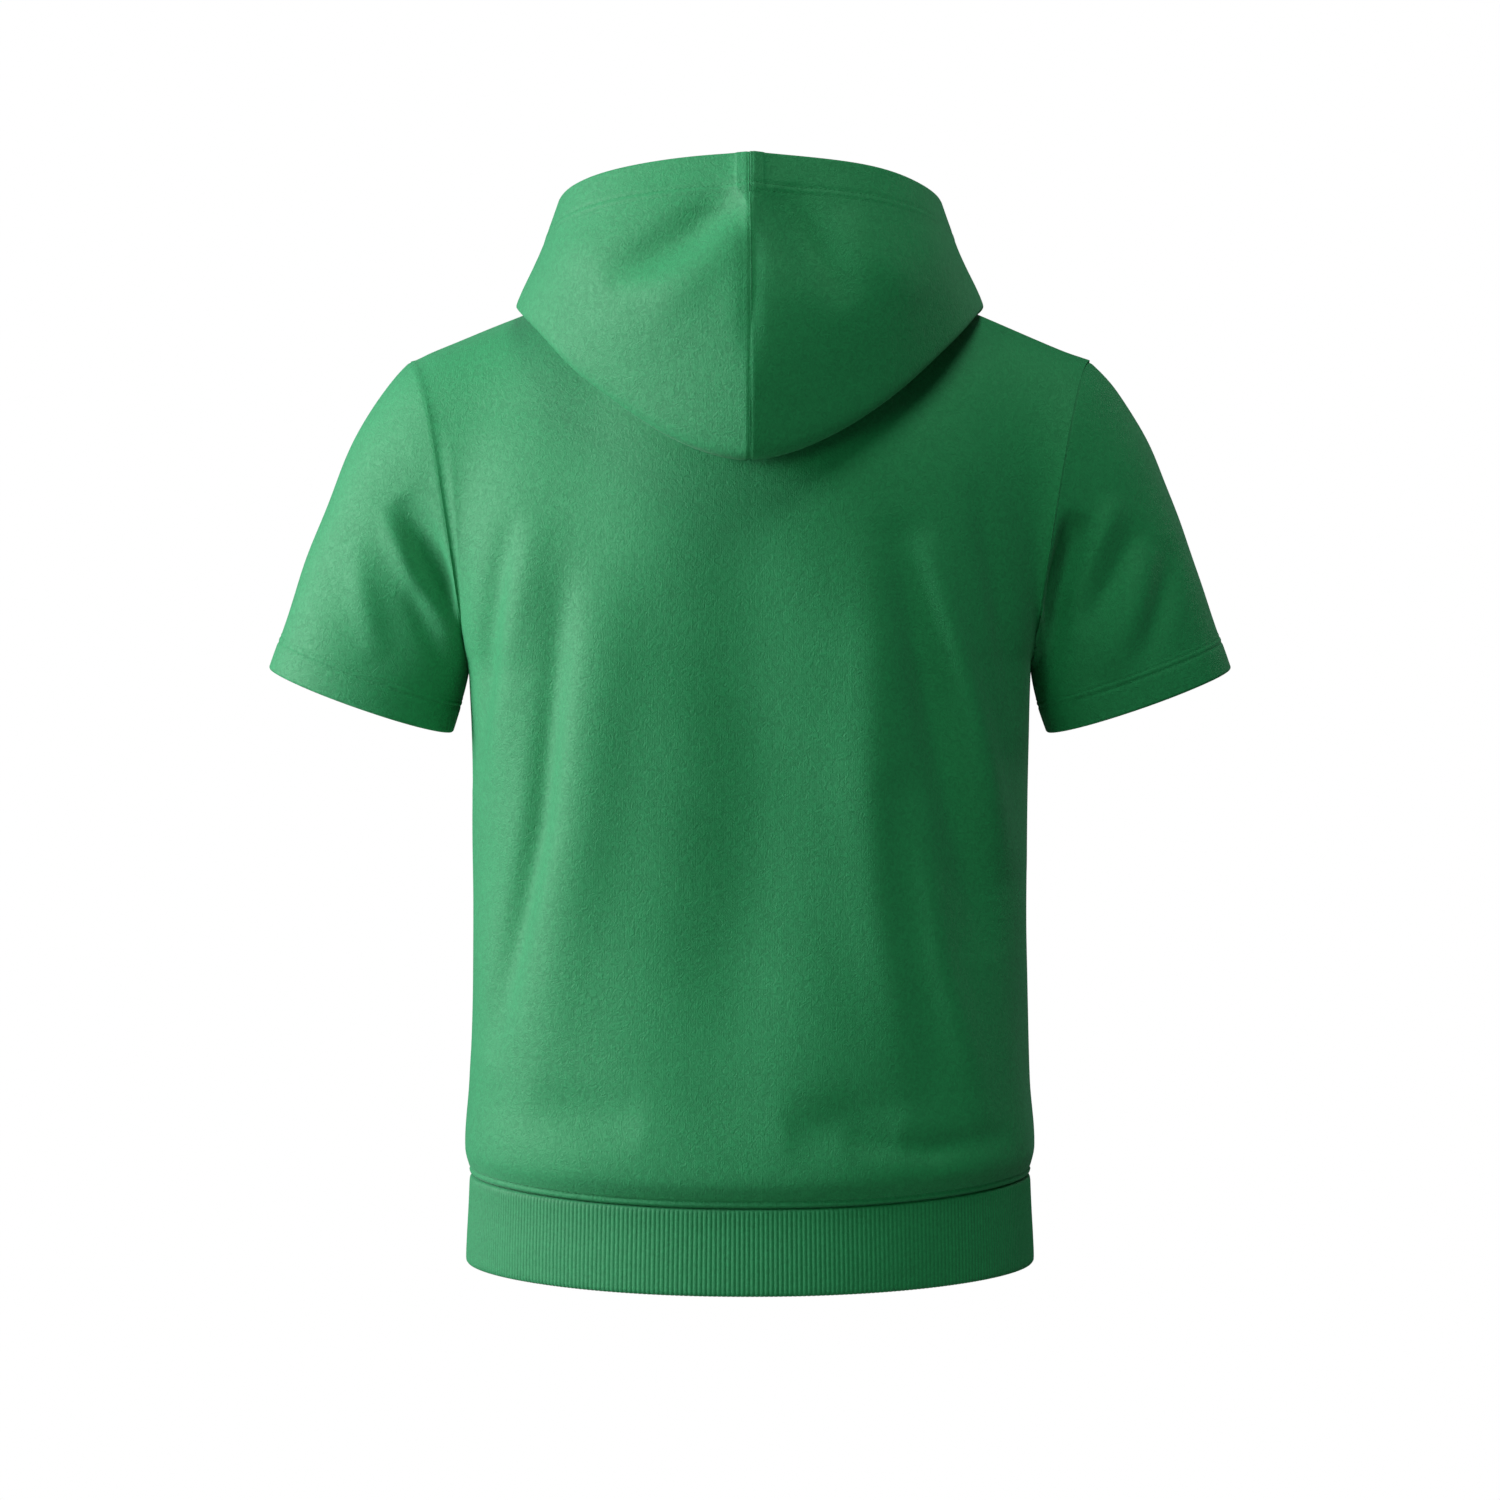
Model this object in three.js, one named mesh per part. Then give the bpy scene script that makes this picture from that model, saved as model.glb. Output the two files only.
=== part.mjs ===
// A short-sleeved hooded t-shirt with the hood down, in the hollow form that it has when it is worn.
// Millimetres. +Z is up, +X is the wearer's left and -Y is the wearer's front.
// The origin is the middle of the neck opening, level with the high points of the two shoulder seams.
import * as THREE from "three";

// Cloth and seams
const CLOTH = 2; // brushed jersey
const HEM_CLOTH = 3.4; // a turned hem is two layers
const BAND_CLOTH = 3.6; // the rib band is folded double
const SEAM_GAP = 0.38; // between two pieces at a seam
const HEM_DEPTH = 23; // from a hem's edge to its stitching
const GREEN = 0x2e8b57;

// Neck opening, shoulders and armholes
const NECK = { halfWidth: 86, back: 64, front: 86, dropBack: 18, dropFront: 86 };
const TIP = { x: 231, y: 0, z: -58 }; // where the shoulder seam meets the sleeve
const PIT_Z = -262; // underarm point
const SEAM_Z = -616; // where the rib band is sewn on
const HEM_Z = -674; // lower edge of the band

// Level sections of the body: half width, reach to the back and to the front, and how square the section is
const BODY_RINGS = [
  { z: -616, halfWidth: 188.5, back: 112, front: 116, square: 2.2 },
  { z: -597, halfWidth: 192.8, back: 121, front: 124, square: 2.3 },
  { z: -545, halfWidth: 189.5, back: 117, front: 121, square: 2.3 },
  { z: -440, halfWidth: 187.5, back: 110, front: 117, square: 2.3 },
  { z: -330, halfWidth: 188.5, back: 114, front: 121, square: 2.3 },
  { z: -240, halfWidth: 191.3, back: 118, front: 124, square: 2.3 },
  { z: -190, halfWidth: 193, back: 119, front: 123, square: 2.3 },
];

// Which way the cloth of a body panel runs as it reaches its top edge, as shares of the column's length.
// foot is the spread of the armhole above the underarm. settle says how soon the way at the high point of
// the shoulder gives over to the way at the middle of the neck.
const BACK_SHAPE = {
  centre: [0, 0.72, 0.52],
  neckPoint: [-0.1, 1.0, 0.3],
  tip: [0.3, 1.05, 0.12],
  foot: 1.05,
  settle: 2,
};
const FRONT_SHAPE = {
  centre: [0, 0.45, 0.85],
  neckPoint: [-0.1, 1.0, 0.3],
  tip: [0.3, 1.05, 0.12],
  foot: 1,
  settle: 3.4,
};

// Sleeve: the cuff is an oval round the arm, square to the arm's direction
const CUFF = {
  x: 266.2,
  y: -15,
  z: -288,
  halfWidth: 66,
  halfDepth: 47,
  lean: 19.6, // degrees out from the vertical
  pitch: 6, // degrees forward
};
const SLEEVE_TOP_LENGTH = 232;
const SLEEVE_UNDER_LENGTH = 52;

// Hood: loops round the neck, from the neck seam over the roll, down into the pouch, round its lower
// fold and up the outside to the rim. mid is how far back a loop lies at the side of the neck.
// fall and fallFront say how its height passes from the side to the back and the front, and tilt how much
// it rises to the back at the side.
const HOOD_LOOPS = [
  { name: "neck", x: 86, back: 64, front: 86, mid: 0, zBack: -18, zSide: 0, zFront: -86, fall: 2, fallFront: 2, tilt: 0, square: 2 },
  { name: "roll", x: 100, back: 80, front: 90, mid: 2, zBack: 22, zSide: 26, zFront: -82, fall: 2, fallFront: 2, tilt: 6, square: 2 },
  { name: "inner", x: 128, back: 113, front: 95, mid: 6, zBack: -52, zSide: 4, zFront: -82, fall: 1.9, fallFront: 1.7, tilt: 0, square: 2.1 },
  { name: "under", x: 147, back: 119, front: 99, mid: 10, zBack: -120, zSide: -17, zFront: -82.5, fall: 1.8, fallFront: 1.55, tilt: 0, square: 2.1 },
  { name: "fold", x: 157, back: 130, front: 102, mid: 12, zBack: -138, zSide: -24, zFront: -80, fall: 1.75, fallFront: 1.5, tilt: 0, square: 2.1 },
  { name: "over", x: 154, back: 140, front: 104, mid: 14, zBack: -116, zSide: -14.5, zFront: -75, fall: 1.8, fallFront: 1.5, tilt: 2, square: 2.1 },
  { name: "outer", x: 140.5, back: 151, front: 103, mid: 16, zBack: -36, zSide: 11, zFront: -68, fall: 2, fallFront: 1.7, tilt: 6, square: 2.2 },
  { name: "rim", x: 129, back: 124, front: 98, mid: 12, zBack: 58, zSide: 40, zFront: -60, fall: 2, fallFront: 2, tilt: 9, square: 2.4 },
];
const HOOD_KEEL = { rise: 16, reach: 110, from: 3.3 / 7, to: 4.5 / 7 }; // the seam down the back stands out as a soft ridge
const HOOD_LAP = { cells: 1, behind: 3.8, from: 0.06, to: 0.22 }; // the right front edge passes behind the left

// The largest folds: each runs through three places of its piece, seen from the back or the front, and raises
// the cloth, or sinks it, on a soft hump that dies away at both ends.
const FOLDS = [
  { on: "back", x: [152, 172, 186], z: [-165, -255, -350], halfWidth: 10, rise: -4 },
  { on: "back", x: [136, 155, 170], z: [-165, -255, -350], halfWidth: 13, rise: 4 },
  { on: "back", x: [118, 138, 172], z: [-200, -375, -530], halfWidth: 12, rise: -6 },
  { on: "back", x: [92, 112, 150], z: [-190, -375, -560], halfWidth: 25, rise: 7 },
  { on: "back", x: [8, -4, 24], z: [-160, -350, -610], halfWidth: 38, rise: -6 },
  { on: "back", x: [-84, -80, -104], z: [-180, -350, -550], halfWidth: 24, rise: 6 },
  { on: "back", x: [-94, -120, -158], z: [-170, -290, -460], halfWidth: 14, rise: -7 },
  { on: "back", x: [-110, -140, -168], z: [-180, -290, -410], halfWidth: 15, rise: 6 },
  { on: "back", x: [-106, -122, -158], z: [-350, -460, -580], halfWidth: 14, rise: 4 },
  { on: "back", x: [144, 106, 70], z: [-552, -560, -566], halfWidth: 17, rise: -3.5 },
  { on: "back", x: [-22, -62, -98], z: [-568, -562, -568], halfWidth: 17, rise: -4 },
  { on: "front", x: [122, 128, 165], z: [-195, -380, -540], halfWidth: 22, rise: 4.5 },
  { on: "front", x: [82, 90, 118], z: [-200, -340, -470], halfWidth: 19, rise: -4.5 },
  { on: "front", x: [-12, -26, -20], z: [-210, -360, -500], halfWidth: 36, rise: -3 },
  { on: "front", x: [-104, -118, -158], z: [-190, -360, -545], halfWidth: 21, rise: 4 },
  { on: "front", x: [-142, -150, -170], z: [-200, -310, -430], halfWidth: 16, rise: -4 },
  { on: "front", x: [-30, -62, -94], z: [-566, -563, -567], halfWidth: 15, rise: -3 },
  { on: "front", x: [48, 76, 100], z: [-565, -568, -564], halfWidth: 14, rise: -2.5 },
  { on: "leftBack", x: [234, 212, 186], z: [-154, -192, -238], halfWidth: 12, rise: -6 },
  { on: "leftBack", x: [246, 226, 196], z: [-158, -203, -246], halfWidth: 9, rise: 4 },
  { on: "rightBack", x: [-220, -204, -186], z: [-160, -215, -300], halfWidth: 10, rise: -6 },
  { on: "rightBack", x: [-248, -231, -204], z: [-152, -184, -236], halfWidth: 9, rise: 4 },
  { on: "rightBack", x: [-262, -245, -220], z: [-168, -204, -246], halfWidth: 9, rise: -4 },
  { on: "rightBack", x: [-268, -256, -238], z: [-185, -228, -275], halfWidth: 12, rise: 4 },
  { on: "leftFront", x: [244, 220, 200], z: [-170, -214, -246], halfWidth: 10, rise: -3 },
  { on: "rightFront", x: [-250, -224, -202], z: [-176, -218, -250], halfWidth: 10, rise: -3 },
];

// How finely the pieces are divided
const NECK_CELLS = 5; // along a quarter of the neck opening
const SHOULDER_CELLS = 9;
const UPPER_ROWS = 10; // from the underarm to the shoulder
const LOWER_ROWS = 8; // from the underarm to the fullness above the band
const SEAM_ROWS = [24, 14, 6, 0]; // heights above the band seam
const SLEEVE_ROWS = [0, 0.12, 0.24, 0.37, 0.5, 0.63, 0.76, 1]; // shares of the way to the hem stitching
const HOOD_SPAN_CELLS = [3, 3, 3, 2, 2, 3, 3];
const RIBS = 392; // wales of the rib band
const RIB_HEIGHT = 0.35;
const BAND_INSIDE = 56; // cells round the plain inside of the band

const PANEL_CELLS = NECK_CELLS + SHOULDER_CELLS;
const NECK_SHARE = NECK_CELLS / PANEL_CELLS;

const point = (x, y, z) => new THREE.Vector3(x, y, z);
const lerp = THREE.MathUtils.lerp;
const mix = (a, b, t) => a.map((v, i) => lerp(v, b[i], t));
const power = (base, exponent) => Math.pow(Math.abs(base), exponent);
const rad = THREE.MathUtils.degToRad;

// Cubic through two points with the given directions at its ends
function hermite(start, startWay, end, endWay, t) {
  const t2 = t * t;
  const t3 = t2 * t;
  return point(0, 0, 0)
    .addScaledVector(start, 2 * t3 - 3 * t2 + 1)
    .addScaledVector(startWay, t3 - 2 * t2 + t)
    .addScaledVector(end, 3 * t2 - 2 * t3)
    .addScaledVector(endWay, t3 - t2);
}

// A table's columns at one height, on a smooth curve through its rows
function ringAt(z) {
  const rows = BODY_RINGS;
  let i = 0;
  while (i < rows.length - 2 && z > rows[i + 1].z) i += 1;
  const [a, b] = [rows[i], rows[i + 1]];
  const before = rows[Math.max(0, i - 1)];
  const after = rows[Math.min(rows.length - 1, i + 2)];
  const span = b.z - a.z;
  const t = (z - a.z) / span;
  const ring = {};
  for (const key of ["halfWidth", "back", "front", "square"]) {
    const slopeA = before === a ? (b[key] - a[key]) / span : (b[key] - before[key]) / (b.z - before.z);
    const slopeB = after === b ? (b[key] - a[key]) / span : (after[key] - a[key]) / (after.z - a.z);
    const curve = hermite(point(a[key], 0, 0), point(slopeA * span, 0, 0), point(b[key], 0, 0), point(slopeB * span, 0, 0), t);
    ring[key] = curve.x;
  }
  return ring;
}

// A point of a squarish oval. turn is 0 at its back, 90 degrees at the wearer's left and 180 at its front.
function ovalPoint(ring, turn) {
  const [s, c] = [Math.sin(turn), Math.cos(turn)];
  const grow = (power(s, ring.square) + power(c, ring.square)) ** (-1 / ring.square);
  return [ring.halfWidth * grow * s, (c > 0 ? ring.back : ring.front) * grow * c];
}

// How much the band seam and the hem ride up towards the side seams
function rideUp(x, z) {
  const atSeam = -2 + 9 * (Math.abs(x) / 188) ** 2.2;
  const atHem = 0.5 + 5.5 * (x / 190) ** 2;
  if (z >= SEAM_Z) return atSeam * (1 - THREE.MathUtils.smoothstep(z, SEAM_Z, SEAM_Z + 90));
  return lerp(atHem, atSeam, (z - HEM_Z) / (SEAM_Z - HEM_Z));
}

function bodyRingPoint(side, share, z) {
  const quarter = (share * Math.PI) / 2;
  const turn = side === "back" ? quarter : Math.PI - quarter;
  const [x, y] = ovalPoint(ringAt(z), turn);
  return point(x, y, z + rideUp(x, z));
}

// A loop of the hood. way is 0 at the front centre, 0.5 at the shoulder and 1 at the back centre.
function loopPoint(loop, way) {
  const angle = Math.PI * way;
  const [s, c] = [Math.sin(angle), Math.cos(angle)];
  const grow = (power(s, loop.square) + power(c, loop.square)) ** (-1 / loop.square);
  const depth = c > 0 ? -loop.front : loop.back;
  const ends = c > 0 ? loop.zFront : loop.zBack;
  const fall = c > 0 ? loop.fallFront : loop.fall;
  return point(
    loop.x * grow * s,
    depth * grow * Math.abs(c) + loop.mid * s * s,
    loop.zSide + (ends - loop.zSide) * (1 - power(s, fall)) - loop.tilt * c * s * s,
  );
}

// The neck seam, straight between the body's columns so that hood and body meet on the same line
function neckSeamPoint(way) {
  const cells = NECK_CELLS * 2;
  const cell = Math.floor(way * cells + 1e-9);
  const [a, b] = [loopPoint(HOOD_LOOPS[0], cell / cells), loopPoint(HOOD_LOOPS[0], (cell + 1) / cells)];
  return a.lerp(b, way * cells - cell);
}

// The top edge of a body panel: half the neck opening, then the shoulder seam
function topEdgePoint(side, share) {
  if (share <= NECK_SHARE) {
    const quarter = (0.5 * share) / NECK_SHARE;
    return loopPoint(HOOD_LOOPS[0], side === "back" ? 1 - quarter : quarter);
  }
  const along = (share - NECK_SHARE) / (1 - NECK_SHARE);
  return point(lerp(NECK.halfWidth, TIP.x, along), TIP.y * along, TIP.z * along ** 1.06);
}

// The body above the underarm: columns that leave the chest section and roll over to the top edge
function upperPoint(side, share, up) {
  const shape = side === "back" ? BACK_SHAPE : FRONT_SHAPE;
  const sign = side === "back" ? 1 : -1;
  const foot = bodyRingPoint(side, share, PIT_Z);
  const top = topEdgePoint(side, share);
  const length = foot.distanceTo(top);
  const rise = bodyRingPoint(side, share, PIT_Z + 1).sub(foot).multiplyScalar(length);
  const corner = share ** 5;
  rise.y += sign * shape.foot * length * corner;
  rise.z *= 1 - 0.75 * corner;
  const ease = (t) => t * t * (3 - 2 * t);
  const arrive =
    share < NECK_SHARE
      ? mix(shape.centre, shape.neckPoint, (share / NECK_SHARE) ** shape.settle)
      : mix(shape.neckPoint, shape.tip, ease((share - NECK_SHARE) / (1 - NECK_SHARE)));
  const way = point(arrive[0], -sign * arrive[1], arrive[2]).multiplyScalar(length);
  return hermite(foot, rise, top, way, up);
}

// Armhole: turn 0 at the shoulder tip, then over the back to the underarm at 0.5 and up the front
function armholePoint(turn) {
  return turn <= 0.5 ? upperPoint("back", 1, 1 - 2 * turn) : upperPoint("front", 1, 2 * turn - 1);
}

function sleevePoint(turn, down) {
  const angle = 2 * Math.PI * turn;
  const [lean, pitch] = [rad(CUFF.lean), rad(CUFF.pitch)];
  const axis = point(Math.sin(lean), -Math.sin(pitch), -Math.cos(lean)).normalize();
  const outward = point(Math.cos(lean), 0, Math.sin(lean));
  const backward = outward.clone().cross(axis);
  const cuff = point(CUFF.x, CUFF.y, CUFF.z)
    .addScaledVector(outward, CUFF.halfWidth * Math.cos(angle))
    .addScaledVector(backward, CUFF.halfDepth * Math.sin(angle));
  const share = (1 - Math.cos(angle)) / 2;
  const length = lerp(SLEEVE_TOP_LENGTH, SLEEVE_UNDER_LENGTH, share);
  const leave = point(lerp(130, 3, share), (Math.sin(angle) > 0 ? -24 - 30 * share : 16) * Math.sin(angle), lerp(-112, -50, share));
  return hermite(armholePoint(turn), leave, cuff, axis.multiplyScalar(length), down);
}

// The hood's section at one place round the neck, on a smooth curve through the loops
function hoodPoint(way, along) {
  const spans = HOOD_LOOPS.length - 1;
  const i = Math.min(spans - 1, Math.floor(along * spans));
  const t = along * spans - i;
  const at = (k) => (k === 0 ? neckSeamPoint(way) : loopPoint(HOOD_LOOPS[k], way));
  const [a, b] = [at(i), at(i + 1)];
  const before = i > 0 ? at(i - 1) : a.clone().multiplyScalar(2).sub(b);
  const after = i < spans - 1 ? at(i + 2) : b.clone().multiplyScalar(2).sub(a);
  const wayA = b.clone().sub(before).multiplyScalar(0.5);
  const wayB = after.sub(a).multiplyScalar(0.5);
  const p = hermite(a, wayA, b, wayB, t);
  const { smoothstep } = THREE.MathUtils;
  const keel = smoothstep(way, 0.5, 0.7) * smoothstep(along, HOOD_KEEL.from, HOOD_KEEL.to);
  p.y += HOOD_KEEL.rise * keel * Math.max(0, 1 - Math.abs(p.x) / HOOD_KEEL.reach) ** 2;
  return p;
}

// A grid of points, points[row][column], with a unit normal at each. A tube closes on itself along its rows.
function makeGrid(columns, rows, at, closed = false) {
  const points = rows.map((row) => columns.map((column) => at(column, row)));
  return { points, normals: gridNormals(points, closed), closed, flip: false };
}

function gridNormals(points, closed) {
  const [height, width] = [points.length, points[0].length];
  const along = (row, i) => {
    const next = closed ? (i + 1) % width : Math.min(i + 1, width - 1);
    const last = closed ? (i + width - 1) % width : Math.max(i - 1, 0);
    return row[next].clone().sub(row[last]);
  };
  return points.map((row, j) =>
    row.map((_, i) => {
      const up = points[Math.min(j + 1, height - 1)][i].clone().sub(points[Math.max(j - 1, 0)][i]);
      return along(row, i).cross(up).normalize();
    }),
  );
}

// How far the folds of one piece raise the cloth at a point
function foldRise(on, p) {
  let rise = 0;
  for (const fold of FOLDS.filter((f) => f.on === on)) {
    let nearest = { gap: Infinity };
    for (const k of [0, 1]) {
      const [alongX, alongZ] = [fold.x[k + 1] - fold.x[k], fold.z[k + 1] - fold.z[k]];
      const dot = (p.x - fold.x[k]) * alongX + (p.z - fold.z[k]) * alongZ;
      const t = THREE.MathUtils.clamp(dot / (alongX ** 2 + alongZ ** 2), 0, 1);
      const gap = Math.hypot(p.x - fold.x[k] - t * alongX, p.z - fold.z[k] - t * alongZ);
      if (gap < nearest.gap) nearest = { gap, share: (k + t) / 2 };
    }
    const ends = Math.sin(Math.PI * nearest.share) ** 0.8;
    rise += fold.rise * ends * Math.exp(-((nearest.gap / fold.halfWidth) ** 2));
  }
  return rise;
}

// Presses folds into a grid. amount(j, i, p) is how far a point moves out along its normal.
function press(grid, amount) {
  grid.points.forEach((row, j) => row.forEach((p, i) => p.addScaledVector(grid.normals[j][i], amount(j, i, p.clone()))));
  grid.normals = gridNormals(grid.points, grid.closed);
  if (grid.flip) grid.normals.flat().forEach((n) => n.negate());
  return grid;
}

// Turns the normals so that they point to the face of the cloth. away gives that way at the middle of the grid.
function faceOut(grid, away) {
  const j = grid.points.length >> 1;
  const i = grid.points[0].length >> 1;
  grid.flip = grid.normals[j][i].dot(away(grid.points[j][i])) < 0;
  if (grid.flip) grid.normals.flat().forEach((n) => n.negate());
  return grid;
}

// One normal for all the points that meet at a place on a seam. Cloth that folds back on itself keeps its own.
function sew(...places) {
  const own = places.map(([grid, j, i]) => grid.normals[j][i].clone());
  places.forEach(([grid, j, i], k) => {
    const shared = own[k].clone();
    own.forEach((n, m) => {
      if (m !== k) shared.addScaledVector(n, THREE.MathUtils.smoothstep(own[k].dot(n), -0.5, 0.3));
    });
    grid.normals[j][i] = shared.normalize();
  });
}

// Draws the end rows or columns of a grid back into their own piece by half a seam gap
function drawBack(grid, ends) {
  const [height, width] = [grid.points.length, grid.points[0].length];
  const pull = (j, i, toRow, toColumn) => {
    const inward = grid.points[toRow][toColumn].clone().sub(grid.points[j][i]);
    return [grid.points[j][i], inward.setLength(SEAM_GAP / 2)];
  };
  const moves = [];
  for (let i = 0; i < width; i += 1) {
    if (ends.bottom) moves.push(pull(0, i, 1, i));
    if (ends.top) moves.push(pull(height - 1, i, height - 2, i));
  }
  for (let j = 0; j < height; j += 1) {
    if (ends.first) moves.push(pull(j, 0, j, 1));
    if (ends.last) moves.push(pull(j, width - 1, j, width - 2));
  }
  moves.forEach(([p, step]) => p.add(step));
}

function meshGeometry(vertices, faces) {
  const geometry = new THREE.BufferGeometry();
  geometry.setAttribute("position", new THREE.Float32BufferAttribute(vertices.flatMap((p) => p.toArray()), 3));
  geometry.setIndex(faces);
  geometry.computeVertexNormals();
  return geometry;
}

// A closed wall: the face of the cloth, its inside one thickness behind it, and the rims between them
function wall(grid, thickness = () => CLOTH) {
  const { points, normals, closed } = grid;
  const [height, width] = [points.length, points[0].length];
  const inner = points.map((row, j) => row.map((p, i) => p.clone().addScaledVector(normals[j][i], -thickness(j))));
  const vertices = [...points.flat(), ...inner.flat()];
  const face = (j, i) => j * width + (i % width);
  const back = (j, i) => height * width + face(j, i);
  const faces = [];
  const quad = (a, b, c, d) => faces.push(a, b, c, a, c, d);
  const cells = closed ? width : width - 1;
  const last = height - 1;
  for (let j = 0; j < last; j += 1)
    for (let i = 0; i < cells; i += 1) {
      quad(face(j, i), face(j, i + 1), face(j + 1, i + 1), face(j + 1, i));
      quad(back(j, i), back(j + 1, i), back(j + 1, i + 1), back(j, i + 1));
    }
  for (let i = 0; i < cells; i += 1) {
    quad(face(0, i), back(0, i), back(0, i + 1), face(0, i + 1));
    quad(face(last, i), face(last, i + 1), back(last, i + 1), back(last, i));
  }
  for (let j = 0; !closed && j < last; j += 1) {
    quad(face(j, 0), face(j + 1, 0), back(j + 1, 0), back(j, 0));
    quad(face(j, cells), back(j, cells), back(j + 1, cells), face(j + 1, cells));
  }
  if (grid.flip) faces.reverse();
  return meshGeometry(vertices, faces);
}

const steps = (count) => Array.from({ length: count + 1 }, (_, i) => i / count);

// Body panels, from the band seam at row 0, past the underarm at PIT_ROW, to the neck and shoulder at the last row
const lowerShare = (t) => 1 - (1 - t) ** 1.35;
const lowerRows = steps(LOWER_ROWS).map((t) => lerp(PIT_Z, SEAM_Z + SEAM_ROWS[0], lowerShare(t)));
const panelLevels = [
  ...SEAM_ROWS.slice(1).reverse().map((height) => ({ z: SEAM_Z + height })),
  ...lowerRows.reverse().map((z) => ({ z })),
  ...steps(UPPER_ROWS).slice(1).map((up) => ({ up })),
];
const panelColumns = steps(2 * PANEL_CELLS).map((t) => 2 * t - 1);
const TOP_ROW = panelLevels.length - 1;
const PIT_ROW = TOP_ROW - UPPER_ROWS;
const LAST_COLUMN = 2 * PANEL_CELLS;

function panelGrid(side) {
  const at = (column, level) => {
    const share = Math.abs(column);
    const p = level.up ? upperPoint(side, share, level.up) : bodyRingPoint(side, share, level.z);
    p.x *= Math.sign(column) || 1;
    return p;
  };
  const grid = faceOut(makeGrid(panelColumns, panelLevels, at), (p) => point(0, p.y, 0));
  const { smoothstep } = THREE.MathUtils;
  const fade = (i) => 1 - smoothstep(Math.abs(panelColumns[i]), 0.9, 1);
  return press(grid, (j, i, p) => fade(i) * smoothstep(p.z, SEAM_Z, SEAM_Z + 30) * foldRise(side, p));
}

// A sleeve's columns start at the shoulder tip and share the body's points: down the back and up the front.
// Its last rows are the hem's stitching, the step where the cloth is doubled, and the edge.
function sleeveGrid(sign) {
  const turns = steps(2 * UPPER_ROWS).slice(0, -1);
  const rows = [...SLEEVE_ROWS.map((t) => ({ t, hem: 0 })), { t: 1, hem: 0.06 }, { t: 1, hem: 1 }];
  const at = (turn, row) => {
    const length = lerp(SLEEVE_TOP_LENGTH, SLEEVE_UNDER_LENGTH, (1 - Math.cos(2 * Math.PI * turn)) / 2);
    const stitching = 1 - HEM_DEPTH / length;
    const p = sleevePoint(turn, lerp(stitching * row.t, 1, row.hem));
    p.x *= sign;
    return p;
  };
  const grid = faceOut(makeGrid(turns, rows, at, true), () => point(-sign, 0, 0));
  const side = sign > 0 ? "left" : "right";
  const amount = (j, i, p) =>
    THREE.MathUtils.smoothstep(rows[j].t, 0, 0.2) *
    (Math.abs(Math.sin(2 * Math.PI * turns[i])) * foldRise(side + (turns[i] < 0.5 ? "Back" : "Front"), p));
  return press(grid, amount);
}

// One half of the hood. Its first columns pass the front centre and cross the other half.
function hoodGrid(sign) {
  const cells = 4 * NECK_CELLS;
  const ways = steps(cells + HOOD_LAP.cells).map((t) => (t * (cells + HOOD_LAP.cells) - HOOD_LAP.cells) / cells);
  const spans = HOOD_SPAN_CELLS.length;
  const plain = HOOD_SPAN_CELLS.flatMap((count, k) => steps(count).slice(k ? 1 : 0).map((t) => (k + t) / spans));
  const rows = [...plain.slice(0, -2).map((along) => ({ along })), { hem: 1 }, { hem: 0.94 }, { hem: 0 }];
  const at = (way, row) => {
    const rimSpan = hoodPoint(way, 1 - 1 / spans).distanceTo(hoodPoint(way, 1));
    const hemShare = Math.min(HEM_DEPTH / rimSpan, 0.6) / spans;
    const p = hoodPoint(way, row.along ?? 1 - row.hem * hemShare);
    p.x *= sign;
    return p;
  };
  const grid = faceOut(makeGrid(ways, rows, at), () => point(0, 0, -1));
  const sink = (way) => HOOD_LAP.behind * (THREE.MathUtils.smoothstep(way, HOOD_LAP.from, HOOD_LAP.to) - 1);
  if (sign < 0)
    grid.points.forEach((row, j) => row.forEach((p, i) => p.addScaledVector(grid.normals[j][i], sink(ways[i]))));
  return grid;
}

const back = panelGrid("back");
const front = panelGrid("front");
const sleeves = { left: sleeveGrid(1), right: sleeveGrid(-1) };
const hoods = { left: hoodGrid(1), right: hoodGrid(-1) };

// Side seams, shoulder seams and the rings round the two armholes
for (let j = 0; j < PIT_ROW; j += 1) for (const i of [0, LAST_COLUMN]) sew([back, j, i], [front, j, i]);
for (let i = 1; i < SHOULDER_CELLS; i += 1)
  for (const column of [i, LAST_COLUMN - i]) sew([back, TOP_ROW, column], [front, TOP_ROW, column]);
for (const [sleeve, column] of [[sleeves.left, LAST_COLUMN], [sleeves.right, 0]]) {
  sew([back, TOP_ROW, column], [front, TOP_ROW, column], [sleeve, 0, 0]);
  sew([back, PIT_ROW, column], [front, PIT_ROW, column], [sleeve, 0, UPPER_ROWS]);
  for (let k = 1; k < UPPER_ROWS; k += 1) {
    sew([back, TOP_ROW - k, column], [sleeve, 0, k]);
    sew([front, TOP_ROW - k, column], [sleeve, 0, 2 * UPPER_ROWS - k]);
  }
}

// Neck seam. The hood has two cells to each of the body's.
const backWay = 4 * NECK_CELLS + HOOD_LAP.cells;
for (const [hood, sign] of [[hoods.left, 1], [hoods.right, -1]]) {
  for (let k = 1; k < NECK_CELLS; k += 1) {
    sew([back, TOP_ROW, PANEL_CELLS + sign * k], [hood, 0, backWay - 2 * k]);
    sew([front, TOP_ROW, PANEL_CELLS + sign * k], [hood, 0, HOOD_LAP.cells + 2 * k]);
  }
  const neckPoint = PANEL_CELLS + sign * NECK_CELLS;
  sew([back, TOP_ROW, neckPoint], [front, TOP_ROW, neckPoint], [hood, 0, backWay - 2 * NECK_CELLS]);
}
sew([back, TOP_ROW, PANEL_CELLS], [hoods.left, 0, backWay], [hoods.right, 0, backWay]);
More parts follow.
